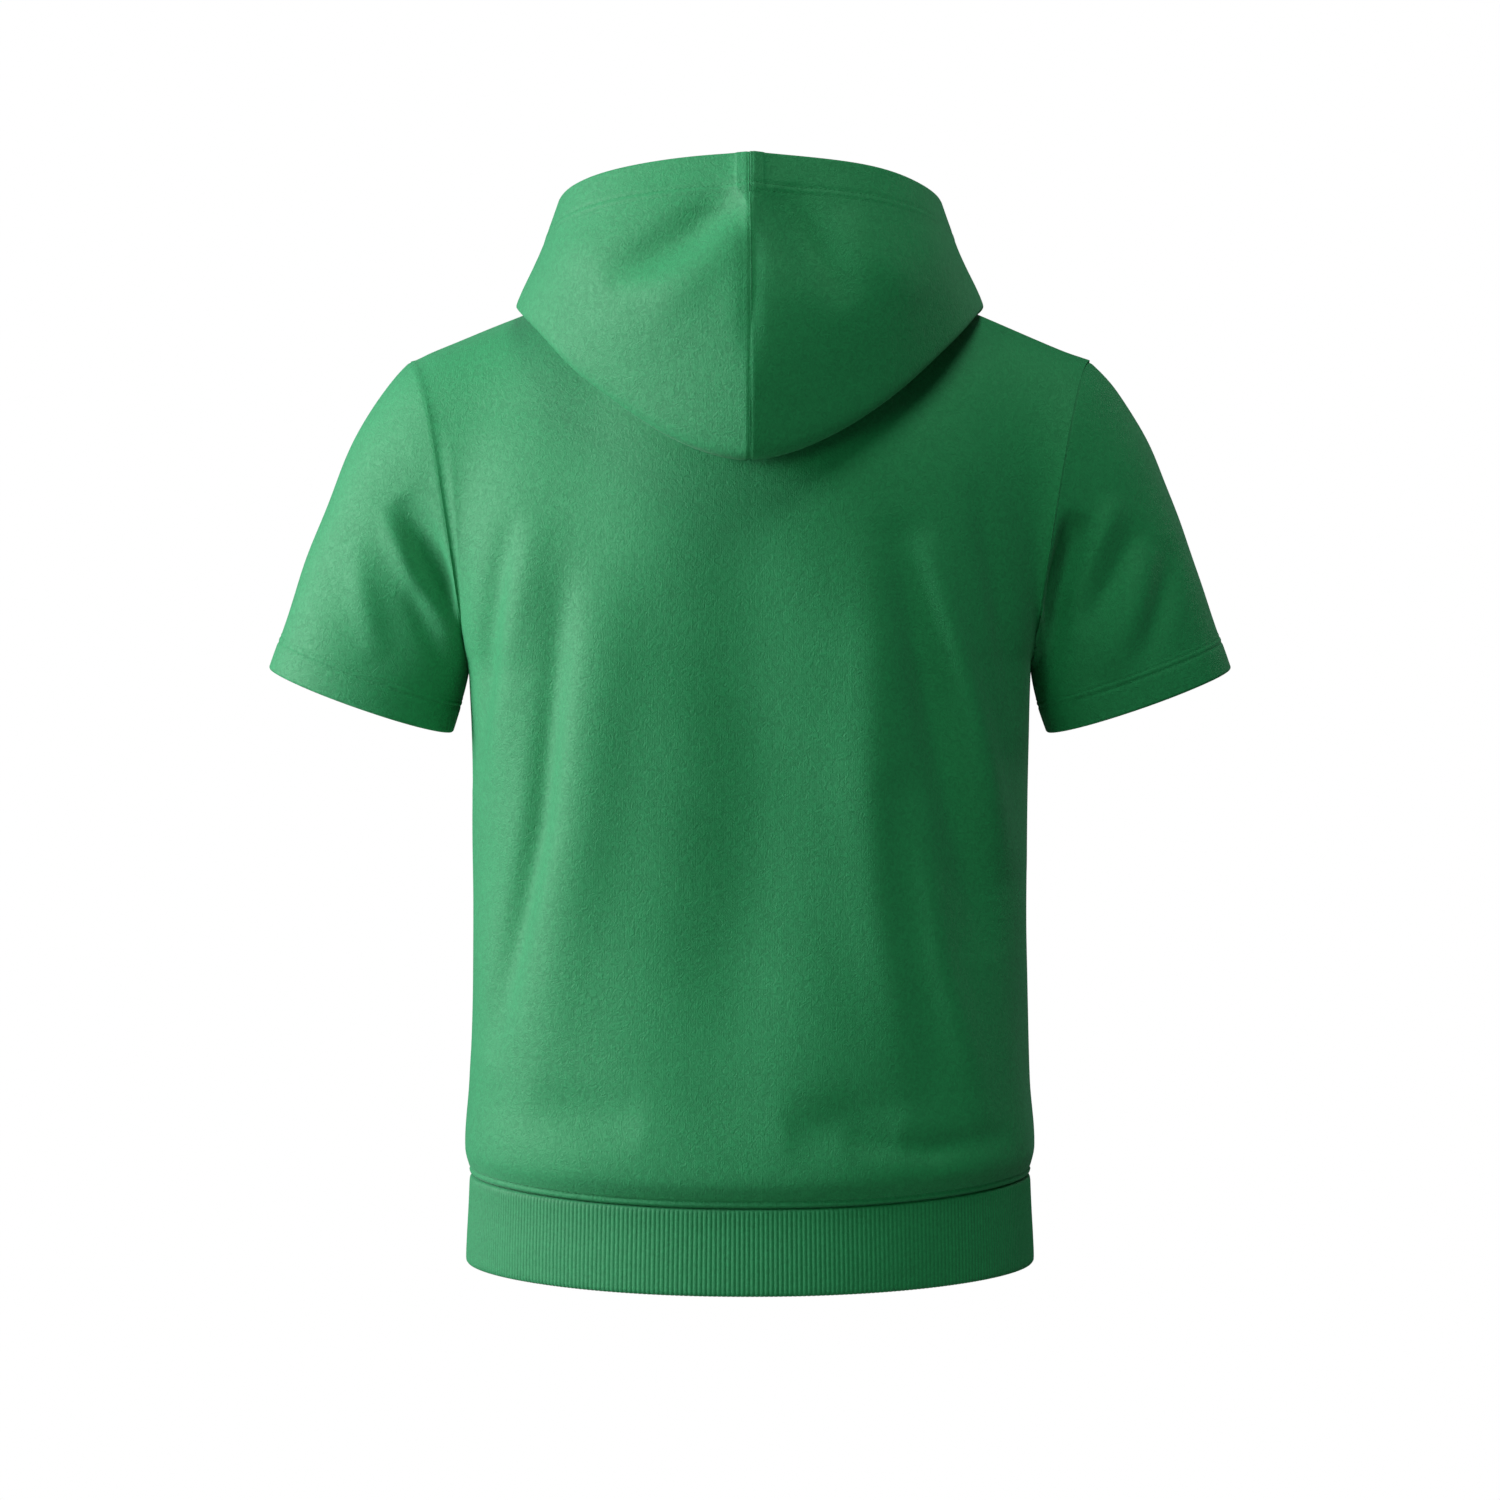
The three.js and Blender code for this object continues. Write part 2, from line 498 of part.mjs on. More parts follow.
for (const hood of Object.values(hoods))
  for (let i = HOOD_LAP.cells + 1; i < backWay; i += 2)
    hood.normals[0][i] = hood.normals[0][i - 1].clone().add(hood.normals[0][i + 1]).multiplyScalar(0.5);
for (let j = 1; j < hoods.left.points.length; j += 1) sew([hoods.left, j, backWay], [hoods.right, j, backWay]);

for (const panel of [back, front]) drawBack(panel, { bottom: true, top: true, first: true, last: true });
for (const sleeve of Object.values(sleeves)) drawBack(sleeve, { bottom: true });
for (const hood of Object.values(hoods)) drawBack(hood, { bottom: true, last: true });

// The rib band: wales raised on its face, plain inside, folded double at its lower edge
const BAND_RINGS = [
  { z: SEAM_Z - SEAM_GAP / 2, halfWidth: 189.2, back: 113, front: 117, square: 2.2, raised: 0 },
  { z: SEAM_Z - 3, halfWidth: 189.8, back: 113.2, front: 117.2, square: 2.2, raised: RIB_HEIGHT },
  { z: HEM_Z + 1.6, halfWidth: 192.2, back: 117, front: 121, square: 2.15, raised: RIB_HEIGHT },
  { z: HEM_Z, halfWidth: 190.8, back: 115.6, front: 119.6, square: 2.15, raised: 0 },
];
const BAND_INNER_RINGS = [
  { ...BAND_RINGS[3], halfWidth: 189.8, back: 114.6, front: 118.6 },
  { ...BAND_RINGS[2], halfWidth: 192.2 - BAND_CLOTH, back: 117 - BAND_CLOTH, front: 121 - BAND_CLOTH },
  { ...BAND_RINGS[0], halfWidth: 189.2 - BAND_CLOTH, back: 113 - BAND_CLOTH, front: 117 - BAND_CLOTH },
];

function bandGeometry() {
  const outerCount = 2 * RIBS;
  const vertices = [];
  const addRing = (ring, count) => {
    const start = vertices.length;
    for (let k = 0; k < count; k += 1) {
      const raised = count === outerCount && k % 2 === 0 ? ring.raised : 0;
      const size = { ...ring, halfWidth: ring.halfWidth + raised, back: ring.back + raised, front: ring.front + raised };
      const [x, y] = ovalPoint(size, (2 * Math.PI * k) / count);
      vertices.push(point(x, y, ring.z + rideUp(x, ring.z)));
    }
    return { start, count };
  };
  const top = addRing(BAND_RINGS[0], BAND_INSIDE);
  const wales = [BAND_RINGS[1], BAND_RINGS[2]].map((ring) => addRing(ring, outerCount));
  const under = [BAND_RINGS[3], ...BAND_INNER_RINGS].map((ring) => addRing(ring, BAND_INSIDE));
  const rings = [top, ...wales, ...under, top];
  const faces = [];
  for (let r = 0; r < rings.length - 1; r += 1) {
    const [a, b] = [rings[r], rings[r + 1]];
    const id = (ring, k) => ring.start + (k % ring.count);
    let [i, j] = [0, 0];
    while (i < a.count || j < b.count) {
      const stepA = j >= b.count || (i < a.count && (i + 1) / a.count <= (j + 1) / b.count);
      if (stepA) faces.push(id(a, i), id(a, i + 1), id(b, j));
      else faces.push(id(b, j), id(a, i), id(b, j + 1));
      if (stepA) i += 1;
      else j += 1;
    }
  }
  return meshGeometry(vertices, faces);
}

const group = new THREE.Group();
function add(name, geometry) {
  const material = new THREE.MeshStandardMaterial({ color: GREEN, roughness: 0.95, metalness: 0 });
  const mesh = new THREE.Mesh(geometry, material);
  mesh.name = name;
  group.add(mesh);
}

const lastSleeveRow = SLEEVE_ROWS.length;
const lastHoodRow = hoods.left.points.length - 2;
add("back_panel", wall(back));
add("front_panel", wall(front));
for (const [name, sleeve] of Object.entries(sleeves))
  add(`sleeve_${name}`, wall(sleeve, (j) => (j >= lastSleeveRow ? HEM_CLOTH : CLOTH)));
for (const [name, hood] of Object.entries(hoods))
  add(`hood_${name}`, wall(hood, (j) => (j >= lastHoodRow ? HEM_CLOTH : CLOTH)));
add("waistband", bandGeometry());

export default group;
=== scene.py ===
# Cloth, rib, sewing, light and camera of a short-sleeved hooded t-shirt in the form that it has when worn.
# Tables are in millimetres. +Z is up, +X is the wearer's left and -Y is the wearer's front.
import math

import bpy
import numpy as np
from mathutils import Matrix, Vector


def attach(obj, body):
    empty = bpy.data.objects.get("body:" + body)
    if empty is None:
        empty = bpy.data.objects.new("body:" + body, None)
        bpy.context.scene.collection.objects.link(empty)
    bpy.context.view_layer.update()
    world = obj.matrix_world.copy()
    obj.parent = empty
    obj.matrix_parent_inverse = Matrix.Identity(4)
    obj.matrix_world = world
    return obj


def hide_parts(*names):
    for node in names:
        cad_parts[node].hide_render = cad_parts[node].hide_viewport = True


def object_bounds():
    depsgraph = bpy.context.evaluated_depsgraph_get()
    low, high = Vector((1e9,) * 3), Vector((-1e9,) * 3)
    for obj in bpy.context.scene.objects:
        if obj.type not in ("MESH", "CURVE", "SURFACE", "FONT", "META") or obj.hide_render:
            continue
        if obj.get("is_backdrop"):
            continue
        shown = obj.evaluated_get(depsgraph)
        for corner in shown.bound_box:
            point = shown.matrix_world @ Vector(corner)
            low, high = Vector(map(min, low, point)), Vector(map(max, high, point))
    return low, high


bl_info = {
    "name": "Hooded T-shirt",
    "version": (1, 0, 0),
    "blender": (4, 5, 0),
    "location": "3D View > Sidebar > Garment",
    "description": "Makes the panels, sleeves, hood, rib band and stitching of a hooded t-shirt and lights them",
    "category": "Add Mesh",
}

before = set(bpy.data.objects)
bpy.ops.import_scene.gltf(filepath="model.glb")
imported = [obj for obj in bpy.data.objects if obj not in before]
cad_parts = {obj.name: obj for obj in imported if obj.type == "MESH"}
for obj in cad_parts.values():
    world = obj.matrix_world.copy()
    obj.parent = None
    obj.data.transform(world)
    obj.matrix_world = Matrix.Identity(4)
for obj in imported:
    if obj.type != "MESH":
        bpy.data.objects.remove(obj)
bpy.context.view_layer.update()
MM = 0.001

# ---- Form: the same named sizes as the solids ----

NECK_HALF_WIDTH = 86
TIP = np.array([231.0, 0.0, -58.0])  # where the shoulder seam meets the sleeve
PIT_Z = -262.0  # underarm point
SEAM_Z = -616.0  # where the rib band is sewn on
HEM_Z = -674.0  # lower edge of the band
NECK_SHARE = 5 / 14  # part of a panel's top edge that belongs to the neck

# Level sections of the body: height, half width, reach to the back and to the front, squareness
BODY_RINGS = np.array(
    [
        (-616, 188.5, 112, 116, 2.2),
        (-597, 192.8, 121, 124, 2.3),
        (-545, 189.5, 117, 121, 2.3),
        (-440, 187.5, 110, 117, 2.3),
        (-330, 188.5, 114, 121, 2.3),
        (-240, 191.3, 118, 124, 2.3),
        (-190, 193, 119, 123, 2.3),
    ],
    float,
)

# Which way the cloth runs as it reaches a panel's top edge, as shares of the column's length
PANEL_SHAPES = {
    "back": {"sign": 1, "centre": (0, 0.72, 0.52), "settle": 2.0, "armhole_spread": 1.05},
    "front": {"sign": -1, "centre": (0, 0.45, 0.85), "settle": 3.4, "armhole_spread": 1.0},
}
NECK_POINT_WAY = (-0.1, 1.0, 0.3)
TIP_WAY = (0.3, 1.05, 0.12)
EASE_OFFSETS = np.linspace(-0.07, 0.07, 5)  # shares of the width over which the way at the top is evened out
EASE_PASSES = 50

CUFF = {"centre": (266.2, -15, -288), "half_width": 66, "half_depth": 47, "lean": 19.6, "pitch": 6}
SLEEVE_TOP_LENGTH = 232
SLEEVE_UNDER_LENGTH = 52

# Loops of the hood from the neck seam round to the rim: half width, reach back and front, setback at the
# side, heights at back, side and front, how the height falls to the back and the front, tilt, squareness
HOOD_LOOPS = np.array(
    [
        (86, 64, 86, 0, -18, 0, -86, 2, 2, 0, 2),
        (100, 80, 90, 2, 22, 26, -82, 2, 2, 6, 2),
        (128, 113, 95, 6, -52, 4, -82, 1.9, 1.7, 0, 2.1),
        (147, 119, 99, 10, -120, -17, -82.5, 1.8, 1.55, 0, 2.1),
        (157, 130, 102, 12, -138, -24, -80, 1.75, 1.5, 0, 2.1),
        (154, 140, 104, 14, -116, -14.5, -75, 1.8, 1.5, 2, 2.1),
        (140.5, 151, 103, 16, -36, 11, -68, 2, 1.7, 6, 2.2),
        (129, 124, 98, 12, 58, 40, -60, 2, 2, 9, 2.4),
    ],
    float,
)
HOOD_SPANS = len(HOOD_LOOPS) - 1
HOOD_KEEL = {"rise": 16, "reach": 110, "start": 3.3 / 7, "end": 4.5 / 7}  # the seam down the back is a soft ridge
JERSEY = 2.0
HEM_CLOTH = 3.4  # a turned hem is two layers
ROUND_END = 1.7  # how far a hem's rounded edge reaches past the last row
FRONT_LAP = {"behind": 3.8, "start": 0.06, "end": 0.22}  # the right front edge passes behind the left

# Folds: three places along each, half width of the hump and how far it lifts the cloth
FOLDS = {
    "back": [
        ((152, 172, 186), (-165, -255, -350), 8, -5.5),
        ((136, 155, 170), (-165, -255, -350), 13, 4),
        ((118, 138, 172), (-200, -375, -530), 10, -8.5),
        ((92, 112, 150), (-190, -375, -560), 25, 7),
        ((176, 172, 168), (-100, -185, -270), 40, 6),
        ((8, -4, 24), (-160, -350, -610), 38, -6),
        ((-84, -80, -104), (-180, -350, -550), 24, 6),
        ((-94, -120, -158), (-170, -290, -460), 14, -10),
        ((-110, -140, -168), (-180, -290, -410), 13, 9.5),
        ((-146, -164, -179), (-140, -220, -310), 9, -4),
        ((-94, -102, -126), (-330, -420, -550), 13, -3),
        ((-106, -122, -158), (-350, -460, -580), 13, 5.5),
        ((144, 106, 70), (-552, -560, -566), 17, -3.5),
        ((-22, -62, -98), (-568, -562, -568), 17, -4),
        ((-60, -118, -174), (-572, -581, -574), 9, -4.5),
    ],
    "front": [
        ((122, 128, 165), (-195, -380, -540), 22, 4.5),
        ((82, 90, 118), (-200, -340, -470), 19, -4.5),
        ((-12, -26, -20), (-210, -360, -500), 36, -3),
        ((-104, -118, -158), (-190, -360, -545), 21, 4),
        ((-142, -150, -170), (-200, -310, -430), 16, -4),
        ((-30, -62, -94), (-566, -563, -567), 15, -3),
        ((48, 76, 100), (-565, -568, -564), 14, -2.5),
    ],
    "left_back": [
        ((234, 212, 186), (-154, -192, -238), 12, -8),
        ((246, 226, 196), (-158, -203, -246), 8, 4.5),
        ((228, 216, 203), (-215, -242, -272), 7, -2),
        ((266, 258, 248), (-180, -224, -262), 10, 3),
    ],
    "right_back": [
        ((-220, -205, -190), (-165, -215, -290), 13, -16),
        ((-248, -231, -204), (-152, -184, -236), 8, 4.5),
        ((-262, -245, -220), (-168, -204, -246), 8, -4),
        ((-268, -256, -238), (-185, -228, -275), 12, 4.5),
        ((-286, -277, -262), (-180, -222, -266), 9, -4),
    ],
    "left_front": [((244, 220, 200), (-170, -214, -246), 10, -3)],
    "right_front": [((-250, -224, -202), (-176, -218, -250), 10, -3)],
    "hood_left": [
        ((6, 40, 94), (30, 6, -22), 13, -8.5),
        ((6, 32, 66), (10, -18, -48), 14, 3),
    ],
    "hood_right": [
        ((-16, -40, -64), (34, -4, -40), 14, -7),
        ((-60, -84, -112), (24, -10, -34), 16, 3),
    ],
}

RIB_WALES = 392
BAND_ROUND = 1010.0  # length of the band all round

# Sections of the rib band from its seam down the face, round the fold and up the inside:
# height, half width, reach back and front, squareness, how much of the ribs shows
BAND_RINGS = np.array(
    [
        (SEAM_Z, 188.4, 111.9, 115.9, 2.2, 0.0),
        (SEAM_Z - 0.8, 189.2, 112.6, 116.6, 2.2, 0.35),
        (SEAM_Z - 2, 189.6, 112.9, 116.9, 2.2, 0.8),
        (SEAM_Z - 4, 189.8, 112.9, 116.9, 2.2, 1.0),
        (SEAM_Z - 14, 190.2, 113.2, 117.2, 2.19, 1.0),
        (SEAM_Z - 26, 190.8, 114.2, 118.2, 2.18, 1.0),
        (SEAM_Z - 38, 191.5, 115.5, 119.5, 2.17, 1.0),
        (SEAM_Z - 50, 192.1, 116.6, 120.6, 2.15, 1.0),
        (HEM_Z + 3.2, 192.2, 117.0, 121.0, 2.15, 1.0),
        (HEM_Z + 1.5, 192.1, 116.9, 120.9, 2.15, 0.95),
        (HEM_Z + 0.5, 191.5, 116.3, 120.3, 2.15, 0.7),
        (HEM_Z + 0.05, 190.5, 115.3, 119.3, 2.15, 0.4),
        (HEM_Z + 0.4, 189.4, 114.2, 118.2, 2.15, 0.2),
        (HEM_Z + 1.6, 188.7, 113.5, 117.5, 2.15, 0.0),
        (HEM_Z + 14, 188.3, 113.1, 117.1, 2.16, 0.0),
        (SEAM_Z - 16, 187.0, 111.5, 115.5, 2.19, 0.0),
        (SEAM_Z, 185.4, 108.9, 112.9, 2.2, 0.0),
    ],
    float,
)


def lerp(a, b, t):
    return a + (b - a) * t


def smoothstep(value, start, end):
    t = np.clip((value - start) / (end - start), 0, 1)
    return t * t * (3 - 2 * t)


def bell(distance, half_width):
    return np.exp(-((distance / half_width) ** 2))


def hermite(start, start_way, end, end_way, t):
    """Cubic through two points with the given directions at its ends."""
    t2, t3 = t * t, t * t * t
    return (2 * t3 - 3 * t2 + 1) * start + (t3 - 2 * t2 + t) * start_way + (3 * t2 - 2 * t3) * end + (t3 - t2) * end_way


def unit(vectors):
    return vectors / np.maximum(np.linalg.norm(vectors, axis=-1, keepdims=True), 1e-9)


def ring_at(z):
    """Half width, reach back, reach front and squareness of the body at a height."""
    heights, sizes = BODY_RINGS[:, 0], BODY_RINGS[:, 1:]
    slopes = np.empty_like(sizes)
    slopes[1:-1] = (sizes[2:] - sizes[:-2]) / (heights[2:] - heights[:-2])[:, None]
    slopes[0] = (sizes[1] - sizes[0]) / (heights[1] - heights[0])
    slopes[-1] = (sizes[-1] - sizes[-2]) / (heights[-1] - heights[-2])
    z = np.asarray(z, float)
    i = np.clip(np.searchsorted(heights, z, side="left") - 1, 0, len(heights) - 2)
    span = (heights[i + 1] - heights[i])[..., None]
    t = (z[..., None] - heights[i][..., None]) / span
    return hermite(sizes[i], slopes[i] * span, sizes[i + 1], slopes[i + 1] * span, t)


def oval_point(sizes, turn, z):
    """A point of a squarish oval. turn is 0 at its back and 90 degrees at the wearer's left."""
    half_width, back, front, square = np.moveaxis(np.asarray(sizes, float), -1, 0)
    s, c = np.sin(turn), np.cos(turn)
    grow = (np.abs(s) ** square + np.abs(c) ** square) ** (-1 / square)
    return np.stack(np.broadcast_arrays(half_width * grow * s, np.where(c > 0, back, front) * grow * c, z), -1)


def ride_up(x, z):
    """How much the band seam and the hem ride up towards the side seams."""
    at_seam = -2 + 9 * (np.abs(x) / 188) ** 2.2
    at_hem = 0.5 + 5.5 * (np.abs(x) / 190) ** 2
    above = at_seam * (1 - smoothstep(z, SEAM_Z, SEAM_Z + 90))
    return np.where(z >= SEAM_Z, above, lerp(at_hem, at_seam, (z - HEM_Z) / (SEAM_Z - HEM_Z)))


def body_point(side, share, z):
    quarter = share * math.pi / 2
    turn = quarter if side == "back" else math.pi - quarter
    points = oval_point(ring_at(z), turn, z)
    points[..., 2] += ride_up(points[..., 0], points[..., 2])
    return points


def loop_point(loop, way):
    """A point of a hood loop. way is 0 at the front centre, 0.5 at the shoulder and 1 at the back centre."""
    half_width, back, front, mid, z_back, z_side, z_front, fall, fall_front, tilt, square = np.moveaxis(loop, -1, 0)
    s, c = np.sin(math.pi * way), np.cos(math.pi * way)
    s = np.abs(s) * np.sign(way + 1e-12)
    grow = (np.abs(s) ** square + np.abs(c) ** square) ** (-1 / square)
    depth = np.where(c > 0, -front, back)
    ends = np.where(c > 0, z_front, z_back)
    fall = np.where(c > 0, fall_front, fall)
    return np.stack(
        [
            half_width * grow * s,
            depth * grow * np.abs(c) + mid * s * s,
            z_side + (ends - z_side) * (1 - np.abs(s) ** fall) - tilt * c * s * s,
        ],
        -1,
    )


def hood_point(way, along):
    """A point of the hood, on a smooth curve through the loops."""
    way, along = np.broadcast_arrays(np.asarray(way, float), np.asarray(along, float))
    i = np.clip(np.floor(along * HOOD_SPANS).astype(int), 0, HOOD_SPANS - 1)
    t = (along * HOOD_SPANS - i)[..., None]
    at = lambda k: loop_point(HOOD_LOOPS[np.clip(k, 0, HOOD_SPANS)], way)
    a, b = at(i), at(i + 1)
    before = np.where((i > 0)[..., None], at(i - 1), 2 * a - b)
    after = np.where((i < HOOD_SPANS - 1)[..., None], at(i + 2), 2 * b - a)
    points = hermite(a, (b - before) / 2, b, (after - a) / 2, t)
    keel = smoothstep(way, 0.5, 0.7) * smoothstep(along, HOOD_KEEL["start"], HOOD_KEEL["end"])
    points[..., 1] += HOOD_KEEL["rise"] * keel * np.clip(1 - np.abs(points[..., 0]) / HOOD_KEEL["reach"], 0, 1) ** 2
    return points


def top_edge_point(side, share):
    """The top edge of a body panel: half the neck opening, then the shoulder seam."""
    quarter = np.clip(0.5 * share / NECK_SHARE, 0, 0.5)
    neck = loop_point(HOOD_LOOPS[0], 1 - quarter if side == "back" else quarter)
    along = np.clip((share - NECK_SHARE) / (1 - NECK_SHARE), 0, 1)
    shoulder = np.stack([lerp(NECK_HALF_WIDTH, TIP[0], along), 0 * along, TIP[2] * along**1.06], -1)
    return np.where((share <= NECK_SHARE)[..., None], neck, shoulder)


def upper_point(side, share, up):
    """The body above the underarm: columns that leave the chest and roll over to the top edge."""
    shape = PANEL_SHAPES[side]
    share, up = np.broadcast_arrays(np.asarray(share, float), np.asarray(up, float))
    level = np.full(share.shape, PIT_Z)
    foot = body_point(side, share, level)
    top = top_edge_point(side, share)
    length = np.linalg.norm(foot - top, axis=-1)[..., None]
    rise = (body_point(side, share, level + 1) - foot) * length
    corner = share**5
    rise[..., 1] += shape["sign"] * shape["armhole_spread"] * length[..., 0] * corner
    rise[..., 2] *= 1 - 0.75 * corner
    centre, neck_point, tip = (np.array(w, float) for w in (shape["centre"], NECK_POINT_WAY, TIP_WAY))
    arrive = 0
    for offset in EASE_OFFSETS:  # spread a little, so that no crease runs down from the high point of the shoulder
        at = np.clip(share + offset, 0, 1)
        near_neck = (np.clip(at / NECK_SHARE, 0, 1) ** shape["settle"])[..., None]
        near_tip = smoothstep(at, NECK_SHARE, 1)[..., None]
        on_neck, on_shoulder = lerp(centre, neck_point, near_neck), lerp(neck_point, tip, near_tip)
        there = np.where((at < NECK_SHARE)[..., None], on_neck, on_shoulder)
        arrive = arrive + there / len(EASE_OFFSETS)
    way = arrive * np.array([1, -shape["sign"], 1]) * length
    return hermite(foot, rise, top, way, up[..., None])


def armhole_point(turn):
    """turn is 0 at the shoulder tip, 0.5 at the underarm by way of the back, and 1 back at the tip."""
    ones = np.ones_like(turn)
    over_back = upper_point("back", ones, np.clip(1 - 2 * turn, 0, 1))
    over_front = upper_point("front", ones, np.clip(2 * turn - 1, 0, 1))
    return np.where((turn <= 0.5)[..., None], over_back, over_front)


def sleeve_point(turn, down):
    turn, down = np.broadcast_arrays(np.asarray(turn, float), np.asarray(down, float))
    angle = 2 * math.pi * turn
    lean, pitch = math.radians(CUFF["lean"]), math.radians(CUFF["pitch"])
    axis = unit(np.array([math.sin(lean), -math.sin(pitch), -math.cos(lean)]))
    outward = np.array([math.cos(lean), 0, math.sin(lean)])
    backward = np.cross(outward, axis)
    cos, sin = np.cos(angle)[..., None], np.sin(angle)[..., None]
    cuff = np.array(CUFF["centre"], float) + outward * CUFF["half_width"] * cos + backward * CUFF["half_depth"] * sin
    share = (1 - cos) / 2
    length = lerp(SLEEVE_TOP_LENGTH, SLEEVE_UNDER_LENGTH, share)
    forward = np.where(sin > 0, -24 - 30 * share, 16) * sin
    leave = np.concatenate([lerp(130, 3, share), forward, lerp(-112, -50, share)], -1)
    return hermite(armhole_point(turn), leave, cuff, axis * length, down[..., None])


# ---- Cloth as a grid of points, rows by columns, with a normal at each ----


def grid_normals(points, closed, sign):
    if closed:
        along = np.roll(points, -1, 1) - np.roll(points, 1, 1)
    else:
        along = np.gradient(points, axis=1)
    return sign * unit(np.cross(along, np.gradient(points, axis=0)))


def travel(points, axis, from_end=False):
    """How far along the cloth each point lies from the first, or the last, row or column."""
    steps = np.linalg.norm(np.diff(points, axis=axis), axis=-1)
    pad = [(0, 0), (0, 0)]
    pad[axis] = (1, 0)
    run = np.pad(np.cumsum(steps, axis=axis), pad)
    return np.take(run, [-1], axis=axis) - run if from_end else run


def fold_lift(folds, points):
    """How far the folds lift the cloth at each point, seen from the back or the front."""
    lift = np.zeros(points.shape[:-1])
    flat = points[..., [0, 2]]
    for xs, zs, half_width, rise in folds:
        places = np.array([xs, zs], float).T
        gap = np.full(lift.shape, np.inf)
        share = np.zeros(lift.shape)
        for k in (0, 1):
            run = places[k + 1] - places[k]
            t = np.clip(((flat - places[k]) @ run) / (run @ run), 0, 1)
            distance = np.linalg.norm(flat - places[k] - t[..., None] * run, axis=-1)
            nearer = distance < gap
            gap = np.where(nearer, distance, gap)
            share = np.where(nearer, (k + t) / 2, share)
        lift += rise * np.sin(math.pi * share) ** 0.8 * bell(gap, half_width)
    return lift


def slack(points, size, seed):
    """Small uneven ease of soft cloth, so that no large face is perfectly even."""
    source = np.random.default_rng(seed)
    total = np.zeros(points.shape[:-1])
    for _ in range(9):
        direction = unit(source.normal(size=3))
        wavelength = source.uniform(45, 120)
        total += np.sin((points @ direction) * 2 * math.pi / wavelength + source.uniform(0, 2 * math.pi))
    return size * total / 3


def seam_dip(distance, depth=1.0, width=1.3):
    """A sewn edge: the cloth dips into the seam and swells a little beside it."""
    return -depth * bell(distance, width) + 0.35 * depth * bell(distance - 3.6 * width, 2.2 * width)


def panel_edge(distance, points):
    """A side seam below the underarm. Above it the panel sinks to the left sleeve and stands over the right."""
    armhole = smoothstep(points[..., 2], PIT_Z - 4, PIT_Z + 12)
    left = points[..., 0] > 0
    lip = np.where(left, -0.7, 0.8) * bell(distance, 13) + np.where(left, 0.7, 0.2) * bell(distance, 3)
    return lerp(seam_dip(distance), lip, armhole)


def needle_dip(distance, depth=0.55, width=0.9):
    return -depth * bell(distance, width)


def press(cloth, amount):
    cloth["points"] = cloth["points"] + cloth["normals"] * amount[..., None]
    cloth["normals"] = grid_normals(cloth["points"], cloth["closed"], cloth["sign"])


def make_cloth(points, closed, face_way, probe):
    """face_way is the way that the face of the cloth looks at the probed row and column."""
    cloth = {"points": points, "closed": closed, "sign": 1}
    cloth["normals"] = grid_normals(points, closed, 1)
    if cloth["normals"][probe] @ np.array(face_way, float) < 0:
        cloth["sign"] = -1
        cloth["normals"] *= -1
    return cloth


def quad_corners(rows, cells):
    """Row and column numbers of the corners of each quad in a grid that closes on itself from last row to first."""
    r, i = (a.ravel() for a in np.meshgrid(np.arange(rows), np.arange(cells), indexing="ij"))
    return np.stack([r, r, r + 1, r + 1], -1), np.stack([i, i + 1, i + 1, i], -1)


def wall_object(name, cloth, thickness, round_end=False):
    """A closed wall of cloth: its face, a rounded or flat edge, and its inside one thickness behind the face."""
    points, normals = cloth["points"], cloth["normals"]
    height, width = points.shape[:2]
    thick = np.broadcast_to(np.asarray(thickness, float).reshape(-1, 1, 1), (height, 1, 1))
    inner = points - normals * thick
    rows = [points]
    if round_end:
        centre, radius = (points[-1] + inner[-1]) / 2, thick[-1] / 2
        out = unit(points[-1] - points[-2])
        angles = np.linspace(0, math.pi, 7)[1:-1]
        rows.append(np.array([centre + radius * (normals[-1] * math.cos(a) + out * math.sin(a)) for a in angles]))
    rows.append(inner[::-1])
    grid = np.concatenate(rows)
    total, ends = len(grid), len(grid) - 2 * height
    cells = width if cloth["closed"] else width - 1
    corners_r, corners_i = quad_corners(total, cells)
    faces = ((corners_r % total) * width + corners_i % width).tolist()
    down = travel(points, 0)
    across = travel(points, 1)
    middle = across[height // 2]
    u_of = np.append(middle, middle[-1] + np.linalg.norm(points[height // 2, -1] - points[height // 2, 0]))
    v_of = np.concatenate([down[:, width // 2], np.full(ends, down[-1, width // 2]), down[::-1, width // 2]])
    u = u_of[corners_i]
    v = v_of[corners_r % total]
    uvs = np.stack([u, v], -1).reshape(-1, 2).tolist()
    if not cloth["closed"]:
        for column, order in ((0, 1), (width - 1, -1)):
            strip = [
                [row * width + column for row in (j, j + 1, total - 2 - j, total - 1 - j)] for j in range(height - 1)
            ]
            if ends:
                strip.append([k * width + column for k in range(height - 1, height + ends + 1)])
            for loop in strip:
                faces.append(loop[::order])
                uvs.extend([u_of[column], v_of[k // width]] for k in loop[::order])
    return mesh_object(name, grid.reshape(-1, 3), faces, uvs)


def signed_volume(vertices, faces):
    total = 0.0
    by_size = {}
    for face in faces:
        by_size.setdefault(len(face), []).append(face)
    for size, group in by_size.items():
        ids = np.array(group)
        for k in range(1, size - 1):
            a, b, c = vertices[ids[:, 0]], vertices[ids[:, k]], vertices[ids[:, k + 1]]
            total += np.einsum("ij,ij->", a, np.cross(b, c))
    return total


def add_object(name, data):
    obj = bpy.data.objects.new(name, data)
    bpy.context.scene.collection.objects.link(obj)
    return obj


